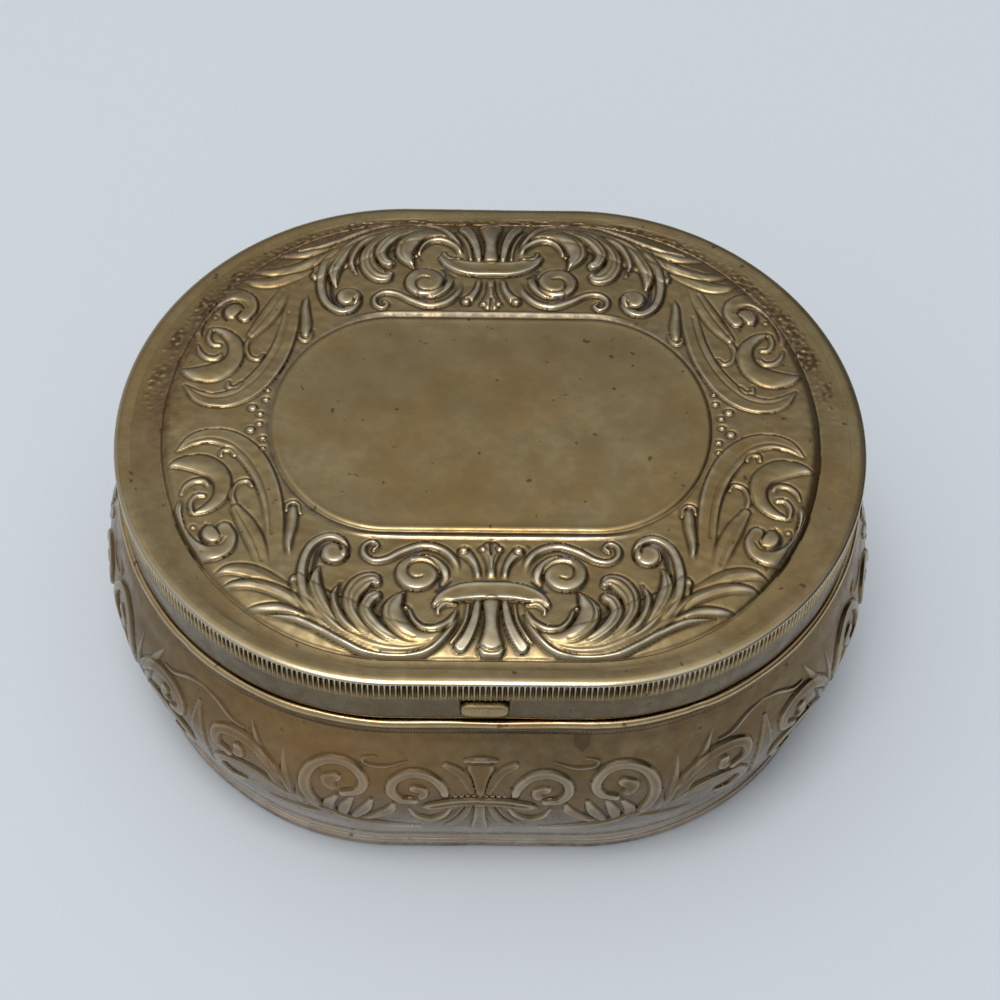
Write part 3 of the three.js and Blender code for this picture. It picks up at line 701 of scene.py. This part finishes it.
def lid_top():
    points, normals, _ = round_the_oval(RIM, count=LID_COLUMNS)
    crease, _, _ = round_the_oval(FIELD, count=LID_COLUMNS)
    plate, plate_normals, _ = round_the_oval(PLATE, count=LID_COLUMNS)
    rows = []

    def add(xy, z, patina_and_shade=0.0, grime=0.0, rust=0.0, worn=0.0):
        rows.append(np.column_stack([xy] + [np.broadcast_to(v, len(xy))
                                            for v in (z, patina_and_shade, grime, rust, worn)]))

    def rim_offset(out):
        return points + out * normals

    def plate_offset(out):
        return plate + out * plate_normals

    # underside, from the middle outwards, and the flange under the rim
    for xy, z in ((plate_offset(-4), PLATE_LEVEL - SHEET), (plate_offset(0), PLATE_LEVEL - SHEET),
                  (plate_offset(0.35), FIELD_LEVEL - SHEET),
                  (crease * 0.7 + plate * 0.3, FIELD_LEVEL - SHEET),
                  (crease - normals * SHEET, BORDER_LEVEL - SHEET),
                  (rim_offset(STEP - SHEET), BORDER_LEVEL - SHEET),
                  (rim_offset(STEP - SHEET), LID_UNDER), (rim_offset(FLANGE), LID_UNDER),
                  (rim_offset(FLANGE), LID_UNDER + SHEET), (rim_offset(STEP), LID_UNDER + SHEET),
                  (rim_offset(STEP), BORDER_LEVEL)):
        add(xy, z)
    # border: sags a little in its middle, with brown films, crumbs of deposit at the back, and
    # darkened towards the left
    edge = rim_offset(BORDER_OUT)
    for share in np.arange(BORDER_ROWS) / BORDER_ROWS:
        xy = edge * (1 - share) + crease * share
        x, y = xy.T
        sag = -BORDER_SAG * math.sin(math.pi * share)
        uneven = 0.022 * ripple(x, y, 7, 11) * min(1, share * 4)
        film = back_corners(x, y, 12, 20, 0.7) * ease(share, 0.25, 0.85)
        crumbs = ripple(x, y, 0.75, 15, 40)
        band = ease(y, -1, 7) * ease(share, 0.12, 0.4) * (
            0.45 + 0.55 * ease(ripple(x, y, 5, 16), -0.5, 0.6))
        rough = CRUMB_HEIGHT * band * np.clip(crumbs - 0.25, 0, 1.4)
        # the border is darkened towards the left, through the same mark as the recesses
        left_darkening = 0.45 * ease(-x, 6, 30)
        add(xy, BORDER_LEVEL + sag + uneven + rough,
            patina_and_shade=np.maximum(0.95 * band * ease(-crumbs, -0.6, 0.5), left_darkening),
            grime=0.12 * film,
            rust=np.maximum.reduce([0.75 * film, 0.65 * band, brown_film(x, y)]))
    # carved field: worked out on a quarter, then mirrored
    share = np.linspace(0, 1, FIELD_ROWS)[:, None]
    inner = plate_offset(FIELD_IN)
    x, y = (crease[:, k] * (1 - share) + inner[:, k] * share for k in (0, 1))
    side = np.abs(x)
    gap = np.hypot(x - crease[:, 0], y - crease[:, 1])
    inner_gap = np.hypot(x - inner[:, 0], y - inner[:, 1])
    slope_width = FIELD_SLOPE - (FIELD_SLOPE - SIDE_SLOPE) * ease(side, 20, 32)
    slope = 1 - (1 - np.clip(gap / slope_width, 0, 1)) ** 2.2
    ground = BORDER_LEVEL + (FIELD_LEVEL - BORDER_LEVEL) * slope
    quarter = LID_COLUMNS // 4 + 1
    qx, qy = side[:, :quarter], np.abs(y[:, :quarter])
    relief = carve(qx.ravel(), qy.ravel(), LID_STROKES, RELIEF_SHARE)
    relief = relief.reshape(qx.shape)[:, mirrored(LID_COLUMNS, 2)]
    relief = relief - SIDE_FLATTER * ease(side, 20, 27) * np.maximum(relief, 0)
    fade = ease(gap, 0.05, 0.6) * ease(inner_gap, 0.0, 0.45)
    height = ground + relief * fade
    # creases round the field and the plate, and the raised line along the plate's long sides
    height -= 0.12 * bump(gap - 0.12, 0.16)
    line_fade = 1 - ease(side, 11, 17)
    line = ease(inner_gap, 0.15, 0.85) * (1 - ease(inner_gap, 0.85, 1.05))
    height += 0.2 * line_fade * line
    height -= 0.08 * bump(inner_gap - 0.05, 0.2)
    height += 0.018 * ripple(x, y, 4, 12) + 0.012 * ripple(x, y, 1.6, 14, 16)
    # recesses darkened by patina and painted shade, a strip of painted shade along the front of the
    # plate's raised line, grey deposits and films
    patina_and_shade, worn = hollows(height - ground)
    patina_and_shade = np.maximum(patina_and_shade, line_fade * bump(inner_gap - 0.4, 0.25) * ease(-y, 0, 9))
    left, back = ease(-x, 4, 20), ease(y, -4, 12)
    grime = np.clip(left + back, 0, 1) * 0.5 * bump(inner_gap - 0.3, 0.5)
    for spot_x, spot_y, radius in DEPOSITS:
        away = np.hypot(side - spot_x, np.abs(y) - spot_y)
        grime = np.maximum(grime, bump(away, radius) * ease(patina_and_shade, 0.15, 0.6))
    rust = 0.8 * back_corners(x, y, 8, 18, 0.8) * (1 - ease(gap, 0.6, 3.2))
    rust = rust + 0.3 * back * ease(patina_and_shade, 0.2, 0.7)
    rust = np.maximum(rust, 0.2 * (1 - ease(relief, 0.04, 0.2)) * (
        0.4 + 0.6 * ease(ripple(x, y, 6, 17), -0.6, 0.8)))
    for row in zip(x, y, height, patina_and_shade, grime, rust, worn):
        add(np.column_stack(row[:2]), *row[2:])
    # plate: a bevelled edge and a gently uneven face
    for out, drop in ((0.2, 0.15), (0.12, 0.1), (0.02, 0.05), (-0.1, 0.01), (-0.22, 0),
                      (-0.45, 0.02)):
        add(plate_offset(out), PLATE_LEVEL - drop)
    for shrink in np.linspace(0.97, 0.03, PLATE_ROWS):
        xy = plate_offset(-0.35) * shrink
        uneven = 0.03 * ripple(xy[:, 0], xy[:, 1], 9, 13) * min(1, (1 - shrink) * 8)
        add(xy, PLATE_LEVEL - 0.03 + uneven)
    grid = np.stack(rows)
    values = dict(zip(("patina_and_shade", "grime", "rust", "worn"), np.moveaxis(grid, 2, 0)[3:]))
    return skin("lid_top_relief", grid[..., :3], values, wrap_rows=False, sharp=70)


dress(lid_top(), "lid", LID_BRASS, "lid_top")

# Rim with its ribs: each groove is a scoop between two ribs. Phases are shares of a rib's pitch.
RIB_COUNT = 437
RIB_PHASES = (-0.5, -0.3, -0.2, -0.1, 0, 0.1, 0.2, 0.3)
GROOVE_HALF = 0.3
GROOVE_LEVELS = (-0.1, 0.15, 0.75, 1.55, 2.35, 2.6)     # above the rim's base
GROOVE_DEPTHS = (0.1, 0.14, 0.2, 0.4, 0.38, 0.0)
FACE = -0.3              # what lies further out than this is the rim's ribbed face
BROW = math.radians(28)  # slope where the rim's tight edge meets its broad crest
TIGHT, BROAD = 0.3, 1.6  # their radii
RIM_LIP = -1.78


def groove_depth(out, z):
    return np.interp(z - RIM_BASE, GROOVE_LEVELS, GROOVE_DEPTHS) * (out > FACE)


def reeded_rim():
    section = [(-0.4, RIM_BASE), (-0.22, RIM_BASE), (-0.06, RIM_BASE + 0.03), (0, RIM_BASE + 0.14)]
    section += [(0, z) for z in np.linspace(RIM_BASE + 0.3, CREST - 0.5, 10)]
    edge_x = -TIGHT * (1 - math.sin(BROW))
    edge_z = CREST - BROAD * (1 - math.cos(BROW))
    for step in range(7):
        slope = math.pi / 2 + (BROW - math.pi / 2) * step / 6
        section.append((edge_x + TIGHT * (math.sin(slope) - math.sin(BROW)),
                        edge_z - TIGHT * (math.cos(BROW) - math.cos(slope))))
    for step in range(1, 8):
        slope = BROW * (1 - step / 7)
        section.append((edge_x - BROAD * (math.sin(BROW) - math.sin(slope)),
                        CREST - BROAD * (1 - math.cos(slope))))
    flange_top = LID_UNDER + SHEET + SEAM / 2
    section += [(-1.4, CREST - 0.03), (RIM_LIP, CREST - 0.05), (RIM_LIP, flange_top),
                (-0.42, flange_top)]
    count = RIB_COUNT * len(RIB_PHASES)
    phase = np.tile(RIB_PHASES, RIB_COUNT)
    groove = np.clip(1 - (phase / GROOVE_HALF) ** 2, 0, 1) ** 0.8
    random = np.random.default_rng(5)
    depth = np.repeat(random.uniform(0.75, 1.1, RIB_COUNT), len(RIB_PHASES))

    def wave(out, z, where):
        worn = 1 - 0.45 * ease(ripple(where, 0, 20, 6), 0.6, 1.3)
        scoop = groove_depth(out, z) * groove * depth * worn
        uneven = 0.02 * ripple(where, 0, 14, 7)
        return -scoop, uneven * (z > CREST - 0.3) * (out > -1.5)

    deep = per_row(section, groove_depth)
    foot = per_row(section, lambda out, z: 1 - ease(z, RIM_BASE + 0.4, RIM_BASE + 1.4))
    # the grooves between the ribs and the ribs' lower part are darkened: patina with painted shade
    patina_and_shade = np.maximum(np.clip(deep * groove * 4.2, 0, 1), 0.55 * foot)
    # the upper ribs' tips get the worn tint, which also stands in as a painted highlight
    worn = per_row(section, lambda out, z: ease(z, RIM_BASE + 1.2, CREST) * ease(
        out, -0.6, -0.2)) * (1 - groove * (deep > 0.05))
    film = per_row(section, lambda out, z: 1 - ease(out, -1.1, -0.5)) * brown_film(
        *round_the_oval(RIM, count=count)[0].T)
    return hoop("reeded_rim_ribs", section, wave, count=count,
                values={"patina_and_shade": patina_and_shade, "worn": worn, "rust": film})


dress(reeded_rim(), "lid", RIM_BRASS, "reeded_rim")

# Skirt with the window for the catch.
TAB_MIDDLE = (TAB_LOW.x + TAB_HIGH.x) / 2 / MM
TAB_HALF = 2.4           # half the width of its face
TAB_TOP = TAB_HIGH.z / MM
TAB_BASE = TAB_TOP - 2.2
TAB_STEPS = 96           # points round its face
WINDOW_PLAY = 0.06       # between the tab's face and the window's sides
SKIRT_COUNT = 1000


def lid_skirt():
    section = [(SKIRT_IN, SKIRT_BASE + 0.1), (SKIRT_IN + 0.1, SKIRT_BASE),
               (SKIRT_OUT - 0.12, SKIRT_BASE), (SKIRT_OUT - 0.03, SKIRT_BASE + 0.04),
               (SKIRT_OUT, SKIRT_BASE + 0.13)]
    section += [(SKIRT_OUT, z) for z in np.linspace(SKIRT_BASE + 0.4, RIM_BASE - 0.05, 12)]
    section += [(SKIRT_OUT - 0.25, RIM_BASE), (SKIRT_OUT - 0.25, SKIRT_TOP), (SKIRT_IN, SKIRT_TOP)]
    section += [(SKIRT_IN, z) for z in np.linspace(SKIRT_TOP - 0.3, SKIRT_BASE + 0.5, 5)]

    def wave(out, z, where):
        outer = out > SKIRT_OUT - 0.05
        length = perimeter()
        side = (where + length / 2) % length - length / 2
        lip = bump(np.abs(side - TAB_MIDDLE) - TAB_HALF - WINDOW_PLAY - 0.12, 0.2)
        lip = lip * ease(z, TAB_BASE - 0.3, TAB_BASE + 0.4)
        uneven = 0.035 * ripple(where, z * 3, 9, 21)
        hem = 0.02 * ripple(where, 0, 15, 22) * (z < SKIRT_BASE + 0.2)
        return outer * (0.14 * lip + uneven), hem

    piece = hoop("lid_skirt_band", section, wave, count=SKIRT_COUNT)
    return cut_out(piece, WINDOW_PLAY, 1.5, TAB_BASE - 0.12, TAB_TOP + 0.28, 0.2, 4)


dress(lid_skirt(), "lid", SKIRT_BRASS, "lid_skirt")


# Catch: a dished tab on its leaf spring.
def catch_tab():
    face = TAB_LOW.y / MM
    leaf_back = TAB_HIGH.y / MM
    leaf_front = leaf_back - 0.4
    middle_z = (TAB_BASE + TAB_TOP) / 2
    half_height = (TAB_TOP - TAB_BASE) / 2
    turn = np.linspace(0, math.tau, TAB_STEPS, endpoint=False)
    wide, high = np.cos(turn), np.sin(turn)
    square = 6.0 - 2.6 * ease(-high, 0, 0.6)
    size = (np.abs(wide) ** square + np.abs(high) ** square) ** (-1 / square)

    def ring(inset, y):
        x = TAB_MIDDLE + wide * size * (TAB_HALF - inset)
        z = middle_z + high * size * (half_height - inset)
        lean = 0.2 * (TAB_TOP - z) / (TAB_TOP - TAB_BASE)
        return np.column_stack([x, y + lean, z])

    rings = [ring(0, leaf_front + 0.05)]
    rings += [ring(inset, face + depth) for inset, depth in (
        (0, 0.2), (0.03, 0.08), (0.12, 0.01), (0.22, 0), (0.34, 0.03), (0.5, 0.1), (0.7, 0.13),
        (0.95, 0.15))]
    bm = bmesh.new()
    verts = [[bm.verts.new(point) for point in points.tolist()] for points in rings]
    for lower, upper in zip(verts, verts[1:]):
        for column in range(TAB_STEPS):
            side = (column + 1) % TAB_STEPS
            bm.faces.new((lower[column], lower[side], upper[side], upper[column]))
    bm.faces.new(verts[0])
    bm.faces.new(verts[-1][::-1])
    leaf = slab(TAB_LOW.x / MM, TAB_HIGH.x / MM, leaf_front, leaf_back, TAB_LOW.z / MM, TAB_TOP)
    return joined("catch_tab_leaf", bm, leaf)


dress(catch_tab(), "catch", LID_BRASS, "catch_tab")

# Shoulder: the bead and the milled band, open at the hinge.
HINGE_BAY = 9.3          # half the opening
BEAD_OUT = 0.3
BEAD_COUNT = 1100
TOOTH_COUNT = 800
TOOTH_PHASES = (0.0, 0.25, 0.5, 0.75)


def shoulder_stations(count):
    reach = perimeter() / 2 - HINGE_BAY
    return np.linspace(-reach, reach, count)


def shoulder_bead():
    middle = (BEAD_BASE + BEAD_TOP) / 2
    radius = (BEAD_TOP - BEAD_BASE) / 2
    section = [(COLLAR_OUT + SEAM, BEAD_TOP), (COLLAR_OUT + SEAM, BEAD_BASE)]
    section += arc(BEAD_OUT - radius, middle, radius, -0.5, 0.5, 12)
    section.append((-0.7, BEAD_TOP))

    def wave(out, z, where):
        nose = ease(out, -0.4, 0.1)
        dents = ease(ripple(where, 0, 5, 32), 0.5, 1.6)
        return (nose * (0.045 * ripple(where, z, 9, 31) - 0.07 * dents),
                nose * 0.04 * ripple(where, 0, 12, 33))

    return hoop("shoulder_bead_nose", section, wave, shoulder_stations(BEAD_COUNT))


def milled_band():
    high = MILLED_TOP - MILLED_BASE
    section = [(COLLAR_OUT + SEAM, MILLED_TOP), (COLLAR_OUT + SEAM, MILLED_BASE),
               (-0.05, MILLED_BASE), (0.02, MILLED_BASE + 0.06), (0.12, MILLED_BASE + 0.16)]
    section += [(0.12, MILLED_BASE + high * share) for share in (0.4, 0.6)]
    section += [(0.12, MILLED_TOP - 0.16), (0.02, MILLED_TOP - 0.06), (-0.05, MILLED_TOP)]
    count = TOOTH_COUNT * len(TOOTH_PHASES)
    tooth = 0.5 - 0.5 * np.cos(math.tau * np.tile(TOOTH_PHASES, TOOTH_COUNT))

    def wave(out, z, where):
        outer = ease(out, -0.02, 0.1)
        worn = 0.4 + 0.6 * ease(ripple(where, 0, 16, 41), -0.6, 0.9)
        return -0.11 * outer * tooth * worn, 0

    # the valleys between the teeth are darkened: patina with painted shade
    patina_and_shade = 0.8 * per_row(section, lambda out, z: out > 0.1) * tooth
    return hoop("milled_band_teeth", section, wave, shoulder_stations(count),
                values={"patina_and_shade": patina_and_shade})


dress(shoulder_bead(), "box", BEAD_BRASS, "shoulder_bead")
dress(milled_band(), "box", WALL_BRASS, "milled_band")

# Body wall with its stamped scrolls.
BULGE_HEIGHT = 16.0
# Offsets of the wall from the rim's outline at the bulge, the top and the bottom.
BULGE_REACH = 2.35
NECK = -0.1
HEEL = -1.5
WALL_COLUMNS = 1800
WALL_ROWS = 190
WALL_GROUND = 0.22       # depth of the ground between the scrolls
WALL_RELIEF = 0.36
WALL_EDGE_SOFT = 0.15
WALL_CREASE = 0.03
WALL_THIN = 0.78         # share of the strokes' widths
FLARE = 0.5              # how far the wall's foot spreads to meet the ring
ORNAMENT_SIDE = -0.9     # the ornament's middle, left of the box's
AMBER_SIDE = 17          # the warm tint's middle, left of the box's
STAIN_SIDE = 9.5         # the dark stain's, right of it


def wall_reach(z):
    upper = NECK + (BULGE_REACH - NECK) * np.cos(
        math.pi / 2 * (z - BULGE_HEIGHT) / (WALL_TOP - BULGE_HEIGHT))
    lower = HEEL + (BULGE_REACH - HEEL) * np.cos(
        math.pi / 2 * (BULGE_HEIGHT - z) / (BULGE_HEIGHT - FOOT_TOP))
    return np.where(z > BULGE_HEIGHT, upper, lower)


def body_wall():
    length = perimeter()
    u = np.arange(WALL_COLUMNS) * length / WALL_COLUMNS
    points, normals, stations = round_the_oval(RIM, ORNAMENT_SIDE + u)
    z = np.linspace(WALL_BASE, WALL_TOP, WALL_ROWS)
    su, sz = np.meshgrid(u[:WALL_COLUMNS // 8 + 1], z)
    relief = carve(su.ravel(), sz.ravel(), WALL_STROKES, WALL_RELIEF, WALL_THIN,
                   WALL_EDGE_SOFT, WALL_CREASE).reshape(su.shape)
    relief = relief[:, mirrored(WALL_COLUMNS, 4)]
    where, level = np.meshgrid(stations, z)
    inside = ease(level, 3.5, 6.5) * (1 - ease(level, 21.2, 23.2))
    out = wall_reach(level) + inside * (relief - WALL_GROUND)
    out = out + 0.05 * ripple(where, level, 9, 51) * ease(WALL_TOP - level, 0, 2)
    out = out + FLARE * (1 - ease(level, WALL_BASE - 0.8, WALL_BASE + 1.3))
    # recesses round the scrolls are darkened (patina with painted shade) and proud edges paler
    # (wear that also acts as a painted highlight)
    patina_and_shade, worn = hollows(relief * inside, 20, 0.15)
    # the lower wall is painted paler, a painted reflection of the bright floor
    painted_reflection = 1 - ease(level + 0.7 * ripple(where, level, 8, 52), 3, 10)
    left_front = bump(where % length - (length - AMBER_SIDE), 15)
    amber = 0.3 * left_front * ease(level, 12, 18)
    stain_half = 0.95 * ease(level, 21.7, 23.2)
    stain = ease(stain_half - np.abs(where - STAIN_SIDE), -0.1, 0.15)
    # a real dark stain joins the darkened recesses
    patina_and_shade = np.maximum(0.7 * patina_and_shade, 0.6 * stain)
    marks = np.stack([patina_and_shade, 0.7 * worn, 0.95 * painted_reflection, amber], axis=2)
    # inner face, from the top down
    shelf = WALL_TOP - SHEET
    section = [(COLLAR_OUT + SEAM, WALL_TOP), (COLLAR_OUT + SEAM, shelf),
               (wall_reach(shelf) - SHEET - 0.3, shelf)]
    section += [(wall_reach(h) - SHEET - 0.25, h)
                for h in np.linspace(WALL_TOP - 2 * SHEET, WALL_BASE, 14)]
    inner_out, inner_level = spread(section, WALL_COLUMNS)
    out, level = np.vstack([out, inner_out]), np.vstack([level, inner_level])
    marks = np.vstack([marks, np.zeros((*inner_out.shape, 4))])
    values = dict(zip(("patina_and_shade", "worn", "painted_reflection", "amber"), np.moveaxis(marks, 2, 0)))
    return skin("body_wall_relief", swept(points, normals, out, level), values, sharp=60)


dress(body_wall(), "box", WALL_BRASS, "body_wall")


# Foot and collar.
FOOT_COUNT = 800
COLLAR_COUNT = 700
NOTCH_PLAY = 0.4         # between the tab and the sides of the collar's notch


def foot_ring():
    outer, inner, radius = -0.9, -2.4, 0.55
    section = arc(outer - radius, radius, radius, -0.5, 0, 6)
    section += arc(outer - radius, FOOT_TOP - radius, radius, 0, 0.5, 6)
    section += [(inner + 0.1, FOOT_TOP), (inner, FOOT_TOP - 0.1), (inner, 0.1), (inner + 0.1, 0)]

    def wave(out, z, where):
        return 0.06 * ease(out, -1.4, -1.0) * ripple(where, z, 11, 61), 0

    # a broken red-brown band round the foot's outer face: painted shade for the dark under the box
    face = per_row(section, lambda out, z: bump(z - 0.6, 0.35) * (out > -1.5))
    where = np.arange(FOOT_COUNT) * perimeter() / FOOT_COUNT
    broken = 0.35 + 0.65 * ease(ripple(where, 0, 13, 62), -0.6, 0.6)
    return hoop("foot_ring_rolled", section, wave, count=FOOT_COUNT,
                values={"rust": 0.75 * face * broken})


def collar():
    section = [(COLLAR_IN, COLLAR_BASE), (COLLAR_OUT, COLLAR_BASE)]
    section += [(COLLAR_OUT, z) for z in np.linspace(COLLAR_BASE + 1, COLLAR_TOP - 0.25, 5)]
    section += arc((COLLAR_IN + COLLAR_OUT) / 2, COLLAR_TOP - SHEET / 2, SHEET / 2, 0, 1, 6)[1:-1]
    section += [(COLLAR_IN, z) for z in np.linspace(COLLAR_TOP - 0.3, COLLAR_BASE + 1, 5)]

    piece = hoop("collar_band", section, lambda out, z, where: (0.02 * ripple(where, z, 12, 71), 0),
                 count=COLLAR_COUNT)
    return cut_out(piece, NOTCH_PLAY, 3, TAB_BASE - 0.3, COLLAR_TOP + 1.5, 0.3, 3)


dress(foot_ring(), "box", FOOT_BRASS, "foot_ring")
dress(collar(), "box", INNER_BRASS, "collar")

# Carried-over nodes and their finish.
CARRIED = {
    "base_plate": INNER_BRASS,
    "catch_spring_foot": STEEL,
    "body_hinge_leaf": WALL_BRASS,
    "hinge_pin": STEEL,
    "lid_hinge_leaf": SKIRT_BRASS,
}
for name, material in CARRIED.items():
    coat(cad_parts[name], material)

# Floor, camera and light.
FLOOR_HALF = 1.2
FLOOR_COLOR = (0.86, 0.91, 0.97)
FLOOR_ROUGH = 0.85


def floor():
    mesh = bpy.data.meshes.new("floor")
    corners = [(FLOOR_HALF * x, FLOOR_HALF * y, 0) for x, y in ((-1, -1), (1, -1), (1, 1), (-1, 1))]
    mesh.from_pydata(corners, [], [(0, 1, 2, 3)])
    material = bpy.data.materials.new("floor")
    n = Nodes(material)
    n.put("Base Color", FLOOR_COLOR)
    n.put("Roughness", FLOOR_ROUGH)
    mesh.materials.append(material)
    placed("floor", mesh)


floor()

# The photograph's view, fitted to the rim: angles in degrees, place in millimetres.
FOCAL = 80.55
SENSOR = 36
TILT = 50.617
YAW = 1.545
ROLL = -1.767
OFFSET_SIDE = -1.211
OFFSET_UP = 8.159
DISTANCE = 244.555
RIM_PLANE = 33.0


def camera():
    data = bpy.data.cameras.new("camera")
    data.lens = FOCAL
    data.sensor_width = SENSOR
    piece = placed("camera", data)
    tilt, yaw, roll = (math.radians(v) for v in (TILT, YAW, ROLL))
    right = Vector((math.cos(yaw), -math.sin(yaw), 0))
    up = Vector((math.sin(yaw) * math.sin(tilt), math.cos(yaw) * math.sin(tilt), math.cos(tilt)))
    ahead = Vector((math.sin(yaw) * math.cos(tilt), math.cos(yaw) * math.cos(tilt),
                    -math.sin(tilt)))
    place = Vector((0, 0, RIM_PLANE)) - right * OFFSET_SIDE - up * OFFSET_UP - ahead * DISTANCE
    x_axis = right * math.cos(roll) - up * math.sin(roll)
    y_axis = right * math.sin(roll) + up * math.cos(roll)
    turn = Matrix((x_axis, y_axis, -ahead)).transposed()
    piece.matrix_world = Matrix.Translation(place * MM) @ turn.to_4x4()
    bpy.context.scene.camera = piece


camera()

# A panel overhead, in metres and watts.
PANEL_PLACE = (-0.1, -0.2, 1.0)
PANEL_AIM = (0, 0, 0.02)
PANEL_SIZE = (0.42, 0.3)
PANEL_POWER = 2.3
PANEL_COLOR = (1.0, 0.985, 0.96)


def panel():
    data = bpy.data.lights.new("overhead", "AREA")
    data.shape = "RECTANGLE"
    data.size, data.size_y = PANEL_SIZE
    data.energy = PANEL_POWER
    data.color = PANEL_COLOR
    piece = placed("overhead", data)
    piece.location = PANEL_PLACE
    direction = Vector(PANEL_AIM) - Vector(PANEL_PLACE)
    piece.rotation_euler = direction.to_track_quat("-Z", "Y").to_euler()


panel()

SKY_COLOR = (0.93, 0.97, 1.0)
SKY_LOW = 0.22
SKY_POWER = 5.0
SKY_FRONT = 0.2
SKY_LEFT = 0.2


def sky():
    """A soft room: brightest overhead, dimmer low down, a little brighter in front and left."""
    world = bpy.data.worlds.new("world")
    bpy.context.scene.world = world
    n = Nodes(world, "Background", "Generated")
    n.put("Color", SKY_COLOR)
    split = n.add("ShaderNodeSeparateXYZ")
    n.link(n.place, split.inputs[0])
    x, y, z = split.outputs
    up = n.math("POWER", n.math("MAXIMUM", z, 0.0), SKY_POWER)
    front = n.math("MAXIMUM", n.math("MULTIPLY", y, -SKY_FRONT), 0.0)
    left = n.math("MULTIPLY", x, -SKY_LEFT)
    glow = n.math("ADD", up, n.math("ADD", front, left))
    n.put("Strength", n.math("ADD", glow, SKY_LOW))


sky()
bpy.context.scene.view_settings.view_transform = "Standard"
